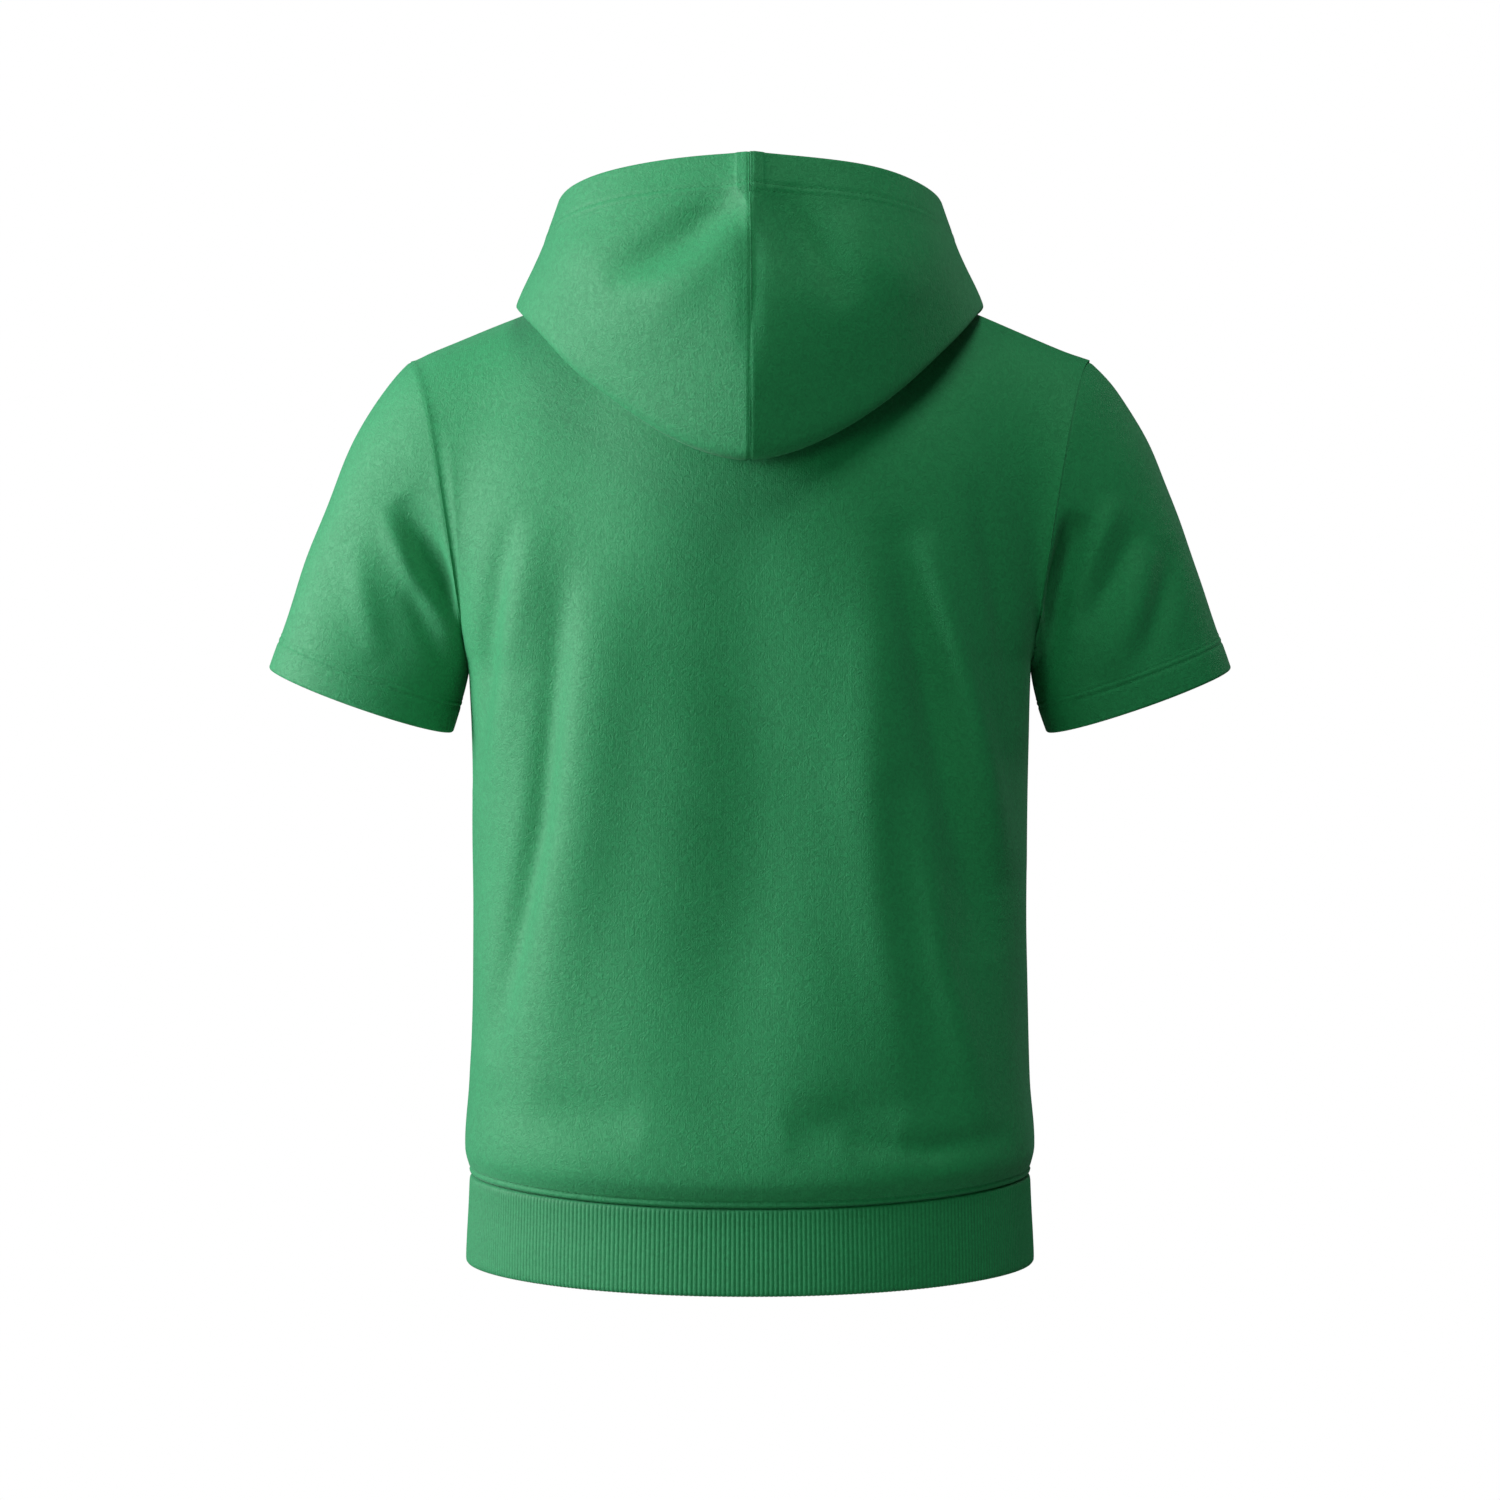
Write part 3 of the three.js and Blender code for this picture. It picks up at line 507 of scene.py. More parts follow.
def mesh_object(name, vertices, faces, uvs):
    """A mesh in metres whose faces all point outwards, smooth except at its real edges."""
    counts = [len(face) for face in faces]
    if signed_volume(vertices, faces) < 0:
        start = 0
        for k, face in enumerate(faces):
            faces[k] = face[::-1]
            uvs[start : start + counts[k]] = uvs[start : start + counts[k]][::-1]
            start += counts[k]
    mesh = bpy.data.meshes.new(name)
    mesh.from_pydata((vertices * MM).tolist(), [], faces)
    layer = mesh.uv_layers.new(name="cloth")
    layer.data.foreach_set("uv", (np.array(uvs) * MM).ravel())
    mesh.polygons.foreach_set("use_smooth", [True] * len(faces))
    mesh.update()
    mesh.set_sharp_from_angle(angle=math.radians(50))
    return add_object(name, mesh)


def place(obj, material, slot, *nodes):
    obj.data.materials.clear()
    obj.data.materials.append(material)
    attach(obj, "root")
    if nodes:
        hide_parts(*nodes)
    return obj


# ---- The pieces as they are sewn ----


def towards_one(count, fine):
    """Even steps from 0 to nearly 1, then the given fine ones."""
    return np.concatenate([np.linspace(0, fine[0], count + 1)[:-1], fine, [1.0]])


PANEL_SHARES = towards_one(66, [0.984, 0.9875, 0.9905, 0.9932, 0.9955, 0.9975, 0.999])
UPPER_STEPS = towards_one(52, [0.962, 0.97, 0.977, 0.983, 0.988, 0.992, 0.9955, 0.998])
SEAM_HEIGHTS = [0, 0.5, 1.0, 1.6, 2.3, 3.1, 3.9, 4.5, 5.0, 5.5, 6.0, 6.6, 7.4, 8.5, 10, 12, 14.5, 18, 22]
WAIST_STITCH = 5.5  # the topstitching above the band seam


def panel_cloth(side, ease):
    columns = np.concatenate([-PANEL_SHARES[:0:-1], PANEL_SHARES])
    low = SEAM_Z + np.concatenate([SEAM_HEIGHTS, np.linspace(22, PIT_Z - SEAM_Z, 84)[1:]])
    share = np.abs(columns)
    lower = body_point(side, share[None, :], np.broadcast_to(low[:, None], (len(low), len(share))))
    upper = upper_point(side, share[None, :], UPPER_STEPS[1:, None])
    off_ends = smoothstep(UPPER_STEPS[1:], 0, 0.1) * smoothstep(1 - UPPER_STEPS[1:], 0, 0.1)
    ease_here = bell(share - NECK_SHARE, 0.18)[1:-1] * off_ends[:, None]
    for _ in range(EASE_PASSES):  # eases the crease that runs down from the high point of the shoulder
        between = (upper[:, :-2] + 2 * upper[:, 1:-1] + upper[:, 2:]) / 4
        upper[:, 1:-1] = lerp(upper[:, 1:-1], between, ease_here[..., None])
    points = np.concatenate([lower, upper])
    points[..., 0] *= np.where(columns < 0, -1, 1)
    facing = PANEL_SHAPES[side]["sign"]
    cloth = make_cloth(points, False, (0, facing, 0), (60, len(columns) // 2))
    fade = (1 - smoothstep(share, 0.93, 1)) * smoothstep(points[..., 2], SEAM_Z, SEAM_Z + 30)
    uneven = slack(points, ease, 3 if side == "back" else 8)
    press(cloth, fade * (fold_lift(FOLDS[side], points) + uneven))
    points = cloth["points"]
    from_right, from_left = travel(points, 1), travel(points, 1, True)
    from_seam, from_top = travel(points, 0), travel(points, 0, True)
    relief = panel_edge(from_right, points) + panel_edge(from_left, points)
    relief += seam_dip(from_top) + seam_dip(from_seam, 1.1, 1.1)
    relief += needle_dip(from_seam - WAIST_STITCH, 0.9, 1.0) + 0.5 * bell(from_seam - 3, 1.6)
    press(cloth, relief)
    cloth["from_seam"] = from_seam
    return cloth


SLEEVE_TURNS = 132
SLEEVE_HEM = (19.6, 23.8)  # the two needle lines, from the edge
SLEEVE_HEM_ROWS = np.array(
    [30, 28, 26.6, 25.6, 24.8, 24.1, 23.4, 22.7, 21.9, 21.1, 20.3, 19.6, 18.9]
    + [18.1, 17, 15, 12, 9, 6, 4, 3, 2.3, ROUND_END]
)  # rows by their distance from the edge


def sleeve_cloth(sign, ease):
    under = np.array([0.006, 0.0035, 0.0015])
    turns = np.linspace(0, 1, SLEEVE_TURNS + 1)[:-1]
    turns = np.sort(np.concatenate([turns, 0.5 - under, 0.5 + under]))
    length = lerp(SLEEVE_TOP_LENGTH, SLEEVE_UNDER_LENGTH, (1 - np.cos(2 * math.pi * turns)) / 2)
    near = np.array([0, 0.6, 1.2, 2.0, 3.0, 4.4])
    hem = SLEEVE_HEM_ROWS
    start, end = near[-1] / length, 1 - hem[0] / length
    middle = start + (end - start) * np.linspace(0, 1, 46)[1:-1, None]
    down = np.concatenate([near[:, None] / length, middle, 1 - hem[:, None] / length])
    points = sleeve_point(turns[None, :], down)
    points[..., 0] *= sign
    cloth = make_cloth(points, True, (-sign, 0, 0), (30, len(turns) // 2))
    side = "left" if sign > 0 else "right"
    at_back = (turns < 0.5)[None, :]
    back_lift, front_lift = (fold_lift(FOLDS[side + face], points) for face in ("_back", "_front"))
    lift = np.abs(np.sin(2 * math.pi * turns)) ** 0.6 * np.where(at_back, back_lift, front_lift)
    fade = smoothstep(down, 0, 0.14)
    press(cloth, fade * (lift + slack(points, ease, 12 if sign > 0 else 15)))
    points = cloth["points"]
    from_edge = travel(points, 0, True) + ROUND_END
    from_under = np.abs(turns - 0.5)[None, :] * 420
    relief = -0.5 * bell(travel(points, 0), 1.5) + 0.7 * seam_dip(from_under, 0.8, 1.2)
    relief += 0.45 * (1 - smoothstep(from_edge, 24.5, 26))
    relief += sum(needle_dip(from_edge - line, 0.6) for line in SLEEVE_HEM)
    press(cloth, relief)
    cloth["from_edge"] = from_edge
    cloth["thickness"] = np.where(travel(points, 0, True)[:, 0] + ROUND_END < 25, HEM_CLOTH, JERSEY)
    return cloth


HOOD_HEM = (22.0, 27.0)  # the two needle lines, from the edge
HOOD_HEM_ROWS = np.array(
    [1, 0.93, 0.86, 0.81, 0.77, 0.735, 0.7, 0.67, 0.645, 0.62, 0.595, 0.57, 0.545]
    + [0.52, 0.49, 0.46, 0.42, 0.36, 0.3, 0.24, 0.18, 0.13, 0.09, 0.062, 0.0425]
)  # rows as shares of the hem zone
HOOD_BACK_COLUMNS = np.array([12, 10, 9.4, 8.9, 8.2, 7, 5.8, 4.7, 3.8, 3.0, 2.3, 1.7, 1.15, 0.7, 0.3, 0])
HOOD_HALF_ROUND = 480  # half the way round the hood, from the front to the seam at the back
LAST_SPAN = 6 / 7  # where the last span of the hood, up to the rim, begins


def hood_cloth(sign, ease):
    back_fine = 1 - HOOD_BACK_COLUMNS / HOOD_HALF_ROUND
    ways = np.concatenate([np.linspace(-0.05, back_fine[0], 108)[:-1], back_fine])
    plain = np.concatenate([np.linspace(0, 0.06, 7)[:-1], np.linspace(0.06, LAST_SPAN, 76)[:-1]])
    way = ways[None, :]
    rim_span = np.linalg.norm(hood_point(way, LAST_SPAN) - hood_point(way, 1.0), axis=-1)
    hem_zone = np.minimum(40, 0.9 * rim_span)
    last_along = 1 - HOOD_HEM_ROWS[:, None] * hem_zone / rim_span / HOOD_SPANS
    between = np.linspace(0, 1, 9)[:-1, None] * (last_along[0] - LAST_SPAN) + LAST_SPAN
    along = np.concatenate([np.broadcast_to(plain[:, None], (len(plain), len(ways))), between, last_along])
    points = hood_point(way, along)
    points[..., 0] *= sign
    fold_row = int(np.argmin(np.abs(plain - 4 / 7)))
    cloth = make_cloth(points, False, (0, 0, -1), (fold_row, len(ways) // 2))
    if sign < 0:
        sink = FRONT_LAP["behind"] * (smoothstep(way, FRONT_LAP["start"], FRONT_LAP["end"]) - 1)
        cloth["points"] = cloth["points"] + cloth["normals"] * np.broadcast_to(sink, along.shape)[..., None]
    side = "left" if sign > 0 else "right"
    points = cloth["points"]
    from_back = travel(points, 1, True)
    outside = smoothstep(along, 4.1 / 7, 5.2 / 7)
    low, high = smoothstep(points[..., 2], -95, -45), smoothstep(points[..., 2], -8, 20)
    crest = 1.6 * high * np.exp(-from_back / 9) - 2.6 * low * (1 - high) * bell(from_back, 7.5)
    crest *= smoothstep(along, 3.2 / 7, 4.4 / 7)
    lift = outside * fold_lift(FOLDS["hood_" + side], points) + crest
    lift += smoothstep(along, 0, 0.12) * smoothstep(way, 0.02, 0.2) * slack(points, ease, 21 if sign > 0 else 27)
    press(cloth, lift)
    points = cloth["points"]
    from_back = travel(points, 1, True)
    from_edge = travel(points, 0, True) + ROUND_END
    hem_share = (1 - smoothstep(from_edge, HOOD_HEM[1] + 0.8, HOOD_HEM[1] + 2.2)) * smoothstep(way, 0.1, 0.25)
    allowance = 0.75 * (1 - smoothstep(from_back, 8.4, 9.6)) * hem_share
    lines = sum(needle_dip(from_edge - line) for line in HOOD_HEM) * smoothstep(way, 0.06, 0.2)
    seam = -0.9 * bell(from_back, 1.6)
    press(cloth, 0.4 * hem_share + allowance + lines + seam + seam_dip(travel(points, 0), 0.9))
    cloth["from_edge"] = from_edge
    row_edge = travel(points, 0, True)[:, -1] + ROUND_END
    cloth["thickness"] = np.where(row_edge < HOOD_HEM[1] + 2, HEM_CLOTH, JERSEY)
    return cloth


BAND_STEPS_DOWN = 3  # extra sections between two of the table's


def band_object(name, wales, steps_round):
    """The band before its ribs are raised, with how far round and how ribbed each point is kept on it."""
    table = np.concatenate([BAND_RINGS, BAND_RINGS[:1]])
    sections = []
    for k in range(len(BAND_RINGS)):
        steps = BAND_STEPS_DOWN if abs(table[k + 1, 0] - table[k, 0]) > 6 else 1
        sections += [lerp(table[k], table[k + 1], s / steps) for s in range(steps)]
    sections = np.array(sections)
    count = wales * steps_round
    turn = 2 * math.pi * np.arange(count) / count
    points = oval_point(sections[:, None, 1:5], turn[None, :], sections[:, None, 0])
    points[..., 2] += ride_up(points[..., 0], points[..., 2])
    corners_r, corners_i = quad_corners(len(sections), count)
    faces = ((corners_r % len(sections)) * count + corners_i % count).tolist()
    run = travel(np.concatenate([points, points[:1]]), 0)[:, 0]
    uvs = np.stack([corners_i / count * BAND_ROUND, run[corners_r]], -1).reshape(-1, 2).tolist()
    obj = mesh_object(name, points.reshape(-1, 3), faces, uvs)
    for key, values in (
        ("round", np.broadcast_to(np.arange(count) / count, points.shape[:2])),
        ("ribbed", np.broadcast_to(sections[:, None, 5], points.shape[:2])),
    ):
        attribute = obj.data.attributes.new(key, "FLOAT", "POINT")
        attribute.data.foreach_set("value", np.ascontiguousarray(values, np.float32).ravel())
    return obj


# ---- Geometry node trees ----


NUMBER = "NodeSocketFloat"


def new_tree(name, **inputs):
    """A tree with the given inputs, where _ stands for a space in a name."""
    tree = bpy.data.node_groups.new(name, "GeometryNodeTree")
    tree.interface.new_socket("Geometry", in_out="INPUT", socket_type="NodeSocketGeometry")
    for label, kind in inputs.items():
        tree.interface.new_socket(label.replace("_", " "), in_out="INPUT", socket_type=kind)
    tree.interface.new_socket("Geometry", in_out="OUTPUT", socket_type="NodeSocketGeometry")
    return tree, tree.nodes.new("NodeGroupInput"), tree.nodes.new("NodeGroupOutput")


def add_node(tree, kind, inputs=(), **settings):
    node = tree.nodes.new(kind)
    for key, value in settings.items():
        setattr(node, key, value)
    for key, value in dict(inputs).items():
        if isinstance(value, bpy.types.NodeSocket):
            tree.links.new(value, node.inputs[key])
        else:
            node.inputs[key].default_value = value
    return node


def math_node(tree, operation, a, b=None):
    return add_node(tree, "ShaderNodeMath", {0: a} if b is None else {0: a, 1: b}, operation=operation).outputs[0]


def finish_tree(tree, group_in, group_out, geometry):
    real = add_node(tree, "GeometryNodeRealizeInstances", {"Geometry": geometry})
    inputs = {"Geometry": real.outputs[0], "Material": group_in.outputs["Material"]}
    named = add_node(tree, "GeometryNodeSetMaterial", inputs)
    tree.links.new(named.outputs[0], group_out.inputs[0])
    return tree


def rib_tree():
    """Raises ribs on a band: a rounded wale and a narrow groove, as many as are asked for."""
    tree, group_in, group_out = new_tree(
        "Raise ribs", Wales="NodeSocketInt", Rib_Height=NUMBER, Material="NodeSocketMaterial"
    )
    around, ribbed = (
        add_node(tree, "GeometryNodeInputNamedAttribute", {"Name": name}, data_type="FLOAT").outputs[0]
        for name in ("round", "ribbed")
    )
    angle = math_node(tree, "MULTIPLY", around, math_node(tree, "MULTIPLY", group_in.outputs["Wales"], 2 * math.pi))
    wave = math_node(tree, "ABSOLUTE", math_node(tree, "SINE", math_node(tree, "MULTIPLY", angle, 0.5)))
    wale = math_node(tree, "POWER", wave, 0.6)
    lift = math_node(tree, "MULTIPLY", math_node(tree, "MULTIPLY", wale, ribbed), group_in.outputs["Rib Height"])
    normal = add_node(tree, "GeometryNodeInputNormal").outputs[0]
    way = add_node(tree, "ShaderNodeVectorMath", {0: normal, "Scale": lift}, operation="SCALE").outputs[0]
    moved = add_node(tree, "GeometryNodeSetPosition", {"Geometry": group_in.outputs["Geometry"], "Offset": way})
    return finish_tree(tree, group_in, group_out, moved.outputs[0])


def stitch_tree():
    """Lays short stitches along seam lines, each a slim thread sunk into the cloth."""
    tree, group_in, group_out = new_tree(
        "Lay stitches", Pitch=NUMBER, Stitch_Length=NUMBER, Thread=NUMBER, Material="NodeSocketMaterial"
    )
    curve = add_node(tree, "GeometryNodeMeshToCurve", {"Mesh": group_in.outputs["Geometry"]})
    spacing = {"Curve": curve.outputs[0], "Length": group_in.outputs["Pitch"]}
    even = add_node(tree, "GeometryNodeResampleCurve", spacing, mode="LENGTH")
    out = add_node(tree, "GeometryNodeInputNamedAttribute", {"Name": "out"}, data_type="FLOAT_VECTOR").outputs[0]
    tangent = add_node(tree, "GeometryNodeInputTangent").outputs[0]
    align = "FunctionNodeAlignRotationToVector"
    first = add_node(tree, align, {"Vector": tangent}, axis="X").outputs[0]
    turned = add_node(tree, align, {"Rotation": first, "Vector": out}, axis="Z", pivot_axis="X").outputs[0]
    half_length = math_node(tree, "MULTIPLY", group_in.outputs["Stitch Length"], 0.5)
    half_thread = math_node(tree, "MULTIPLY", group_in.outputs["Thread"], 0.5)
    size = add_node(tree, "ShaderNodeCombineXYZ", {0: half_length, 1: half_thread, 2: half_thread})
    stitch = add_node(tree, "GeometryNodeMeshUVSphere", {"Segments": 6, "Rings": 5, "Radius": 1.0})
    soft = add_node(tree, "GeometryNodeSetShadeSmooth", {"Geometry": stitch.outputs[0], "Shade Smooth": True})
    laying = {"Points": even.outputs[0], "Instance": soft.outputs[0], "Rotation": turned, "Scale": size.outputs[0]}
    placed = add_node(tree, "GeometryNodeInstanceOnPoints", laying)
    return finish_tree(tree, group_in, group_out, placed.outputs[0])


def grow(obj, tree, values):
    """Runs a tree on an object and leaves its result as a plain mesh with no modifier."""
    modifier = obj.modifiers.new(tree.name, "NODES")
    modifier.node_group = tree
    items = [item for item in tree.interface.items_tree if item.item_type == "SOCKET" and item.in_out == "INPUT"]
    sockets = {item.name: item.identifier for item in items}
    for label, value in values.items():
        modifier[sockets[label]] = value
    obj.update_tag()
    bpy.context.view_layer.update()
    graph = bpy.context.evaluated_depsgraph_get()
    made = bpy.data.meshes.new_from_object(obj.evaluated_get(graph), depsgraph=graph)
    obj.modifiers.remove(modifier)
    obj.data = made
    if not len(made.polygons):
        raise RuntimeError(f"{tree.name} made nothing for {obj.name}")
    return obj


def line_on(cloth, distances, distance, columns=slice(None), lift=0.0):
    """The line at one distance from an edge of the cloth, and the way out of the cloth along it."""
    points, normals = cloth["points"][:, columns], cloth["normals"][:, columns]
    distances = distances[:, columns]
    line, out = [], []
    for k in range(points.shape[1]):
        order = np.argsort(distances[:, k])
        at = distances[order, k]
        line.append([np.interp(distance, at, points[order, k, axis]) for axis in range(3)])
        out.append([np.interp(distance, at, normals[order, k, axis]) for axis in range(3)])
    line, out = np.array(line), unit(np.array(out))
    return line + out * lift, out


def stitch_object(name, lines, tree, sizes, material):
    vertices, edges, outs = [], [], []
    for line, out, closed in lines:
        start = len(vertices)
        vertices += (line * MM).tolist()
        outs += out.tolist()
        edges += [(start + k, start + k + 1) for k in range(len(line) - 1)]
        if closed:
            edges.append((start + len(line) - 1, start))
    mesh = bpy.data.meshes.new(name)
    mesh.from_pydata(vertices, edges, [])
    attribute = mesh.attributes.new("out", "FLOAT_VECTOR", "POINT")
    attribute.data.foreach_set("vector", np.array(outs, np.float32).ravel())
    obj = add_object(name, mesh)
    values = {"Pitch": sizes.stitch_pitch, "Stitch Length": sizes.stitch_length, "Thread": sizes.thread}
    return grow(obj, tree, {**values, "Material": material})


# ---- Materials ----


def shader_group(name, inputs, outputs):
    group = bpy.data.node_groups.new(name, "ShaderNodeTree")
    for label, kind, default in inputs:
        socket = group.interface.new_socket(label, in_out="INPUT", socket_type=kind)
        socket.default_value = default
    for label, kind in outputs:
        group.interface.new_socket(label, in_out="OUTPUT", socket_type=kind)
    return group, group.nodes.new("NodeGroupInput"), group.nodes.new("NodeGroupOutput")


def mix_colours(tree, factor, a, b):
    node = tree.nodes.new("ShaderNodeMix")
    node.data_type = "RGBA"
    for socket, value in ((node.inputs[0], factor), (node.inputs[6], a), (node.inputs[7], b)):
        if isinstance(value, bpy.types.NodeSocket):
            tree.links.new(value, socket)
        else:
            socket.default_value = value
    return node.outputs[2]


def brushed_knit_group():
    """Soft nap over fine knit: curly tufts, single fibres and faint upright wales."""
    group = bpy.data.node_groups.get("Brushed knit")
    if group:
        return group
    group, group_in, group_out = shader_group(
        "Brushed knit",
        [
            ("Cloth", "NodeSocketColor", (0.03, 0.25, 0.1, 1)),
            ("Light Fibre", "NodeSocketColor", (0.06, 0.34, 0.15, 1)),
            ("Deep Fibre", "NodeSocketColor", (0.015, 0.17, 0.06, 1)),
            ("Tufts per Metre", "NodeSocketFloat", 330.0),
            ("Wales per Metre", "NodeSocketFloat", 900.0),
            ("Wale Share", "NodeSocketFloat", 0.25),
        ],
        [("Color", "NodeSocketColor"), ("Roughness", "NodeSocketFloat"), ("Height", "NodeSocketFloat")],
    )
    where = group.nodes.new("ShaderNodeTexCoord")

    def noise(scale, detail, roughness, distortion=0.0):
        inputs = {"Vector": where.outputs["Object"], "Scale": scale, "Detail": detail, "Roughness": roughness}
        return add_node(group, "ShaderNodeTexNoise", {**inputs, "Distortion": distortion}).outputs[0]

    def spread(value, low, high, start, end, shape="LINEAR"):
        inputs = {0: value, 1: low, 2: high, 3: start, 4: end}
        return add_node(group, "ShaderNodeMapRange", inputs, interpolation_type=shape).outputs[0]

    tufts = noise(group_in.outputs["Tufts per Metre"], 3.0, 0.55, 1.4)
    fibres = noise(math_node(group, "MULTIPLY", group_in.outputs["Tufts per Metre"], 4.5), 2.0, 0.7)
    clouds = noise(14.0, 3.0, 0.5)
    uv = add_node(group, "ShaderNodeSeparateXYZ", {0: where.outputs["UV"]})
    turns = math_node(group, "MULTIPLY", group_in.outputs["Wales per Metre"], 2 * math.pi)
    angle = math_node(group, "MULTIPLY", uv.outputs[0], turns)
    wales = math_node(group, "MULTIPLY", math_node(group, "SINE", angle), group_in.outputs["Wale Share"])
    tuft_face = spread(tufts, 0.32, 0.68, 0.0, 1.0, "SMOOTHSTEP")
    mixed = mix_colours(group, tuft_face, group_in.outputs["Deep Fibre"], group_in.outputs["Light Fibre"])
    colour = mix_colours(group, 0.55, mixed, group_in.outputs["Cloth"])
    for source, share in ((clouds, 0.22), (fibres, 0.3)):
        colour = mix_colours(group, spread(source, 0.3, 0.7, 0.0, share), colour, group_in.outputs["Light Fibre"])
    group.links.new(colour, group_out.inputs["Color"])
    group.links.new(spread(tufts, 0.3, 0.7, 0.72, 0.62), group_out.inputs["Roughness"])
    height = math_node(group, "ADD", tufts, math_node(group, "MULTIPLY", fibres, 0.35))
    height = math_node(group, "ADD", height, math_node(group, "MULTIPLY", wales, 0.3))
    group.links.new(height, group_out.inputs["Height"])
    return group


def knit_material(name, colour, settings):
    """A knit whose detail comes from the shared group, with its own values."""
    material = bpy.data.materials.get(name)
    if material:
        return material
    material = bpy.data.materials.new(name)
    material.use_nodes = True
    tree = material.node_tree
    shader = tree.nodes["Principled BSDF"]
    knit = tree.nodes.new("ShaderNodeGroup")
    knit.node_tree = brushed_knit_group()
    base = tuple(colour[:3])
    knit.inputs["Cloth"].default_value = base + (1,)
    knit.inputs["Light Fibre"].default_value = tuple(c * 1.3 + 0.003 for c in base) + (1,)
    knit.inputs["Deep Fibre"].default_value = tuple(c * 0.62 for c in base) + (1,)
    for key in ("Tufts per Metre", "Wales per Metre", "Wale Share"):
        knit.inputs[key].default_value = settings[key]
    bump = tree.nodes.new("ShaderNodeBump")
    for source, target in (
        (knit.outputs["Color"], shader.inputs["Base Color"]),
        (knit.outputs["Roughness"], shader.inputs["Roughness"]),
        (knit.outputs["Height"], bump.inputs["Height"]),
        (bump.outputs["Normal"], shader.inputs["Normal"]),
    ):
        tree.links.new(source, target)
    for node, key, value in (
        (bump, "Strength", settings["bump"]),
        (bump, "Distance", settings["relief"]),
        (shader, "Specular IOR Level", 0.4),
        (shader, "Sheen Weight", settings["sheen"]),
        (shader, "Sheen Roughness", 0.5),
        (shader, "Sheen Tint", (0.6, 1.0, 0.8, 1)),
    ):
        node.inputs[key].default_value = value
    material.diffuse_color = base + (1,)
    return material


# Name, tufts per metre, wales per metre, how much the wales show, bump strength, depth of the relief, sheen
KNITS = {
    "jersey": ("Brushed jersey", 330.0, 880.0, 0.1, 0.55, 0.0009, 0.12),
    "rib": ("Rib knit", 420.0, 0.0, 0.0, 0.35, 0.0006, 0.1),
    "thread": ("Sewing thread", 1500.0, 0.0, 0.0, 0.3, 0.0002, 0.1),
}


def cloth_material(kind):
    name, *values = KNITS[kind]
    keys = ("Tufts per Metre", "Wales per Metre", "Wale Share", "bump", "relief", "sheen")
    return knit_material(name, getattr(bpy.context.scene.garment_colours, kind), dict(zip(keys, values)))


# ---- Studio ----


def area_light(name, place_at, look_at, size, power, colour):
    data = bpy.data.lights.new(name, "AREA")
    data.shape = "DISK"
    data.size = size
    data.energy = power
    data.color = colour
    obj = add_object(name, data)
    obj.location = place_at
    obj.rotation_euler = (Vector(look_at) - Vector(place_at)).to_track_quat("-Z", "Y").to_euler()
    return obj


def white_for_camera(tree, output, base, brightness):
    """Plain white where the camera looks straight at it, and the given shader for all other light."""
    path = tree.nodes.new("ShaderNodeLightPath")
    in_world = output.bl_idname == "ShaderNodeOutputWorld"
    bright = tree.nodes.new("ShaderNodeBackground" if in_world else "ShaderNodeEmission")
    bright.inputs["Color"].default_value = (1, 1, 1, 1)
    bright.inputs["Strength"].default_value = brightness
    chosen = tree.nodes.new("ShaderNodeMixShader")
    tree.links.new(path.outputs["Is Camera Ray"], chosen.inputs[0])
    tree.links.new(base.outputs[0], chosen.inputs[1])
    tree.links.new(bright.outputs[0], chosen.inputs[2])
    tree.links.new(chosen.outputs[0], output.inputs["Surface"])


# ---- Settings ----


def length(name, description, default):
    return bpy.props.FloatProperty(
        name=name, description=description, default=default, unit="LENGTH", subtype="DISTANCE"
    )


def power(name, description, default):
    return bpy.props.FloatProperty(name=name, description=description, default=default, unit="POWER")


def plain(name, description, default, least):
    return bpy.props.FloatProperty(name=name, description=description, default=default, min=least)


def colour(name, description, default):
    return bpy.props.FloatVectorProperty(
        name=name, description=description, default=default, subtype="COLOR", min=0, max=1
    )


class GarmentSizes(bpy.types.PropertyGroup):
    jersey: length("Jersey", "Thickness of the brushed jersey", 0.002)
    ease: length("Ease", "Height of the small uneven slack in the cloth", 0.0005)
    rib_height: length("Rib height", "How far a wale of the band stands up", 0.00045)
    wales: bpy.props.IntProperty(
        name="Wales", description="Ribs round the whole band", default=RIB_WALES, min=40, max=600
    )
    stitch_pitch: length("Stitch pitch", "From one stitch to the next", 0.0031)
    stitch_length: length("Stitch length", "Length of thread that shows", 0.0025)
    thread: length("Thread", "Thickness of the sewing thread", 0.0006)


class GarmentColours(bpy.types.PropertyGroup):
    jersey: colour("Jersey", "Colour of the brushed jersey", (0.0165, 0.235, 0.083))
    rib: colour("Rib", "Colour of the rib band", (0.0155, 0.218, 0.077))
    thread: colour("Thread", "Colour of the sewing thread", (0.024, 0.24, 0.09))


class StudioSettings(bpy.types.PropertyGroup):
    key: power("Key light", "Power of the large soft light from the wearer's left", 114.0)
    fill: power("Fill light", "Power of the weak light beside the camera", 13.0)
    rim: power("Rim light", "Power of the light that grazes the wearer's right", 3.0)
    top: power("Top light", "Power of the soft light on the shoulders", 30.0)
    room: plain("Room light", "Brightness of the room on the cloth", 0.045, 0)
    backdrop: plain("Backdrop", "Brightness of the background and the floor as they are seen", 1.0, 0)
    camera_distance: length("Camera distance", "From the camera to the middle of the garment", 2.1)
    camera_height: length("Camera height", "Height of the camera against the shoulder points", -0.322)
    lens: plain("Lens", "Focal length of the camera in millimetres", 74.1, 1)


# ---- Operators, one for each piece or group of like pieces ----

CLOTHS = {}


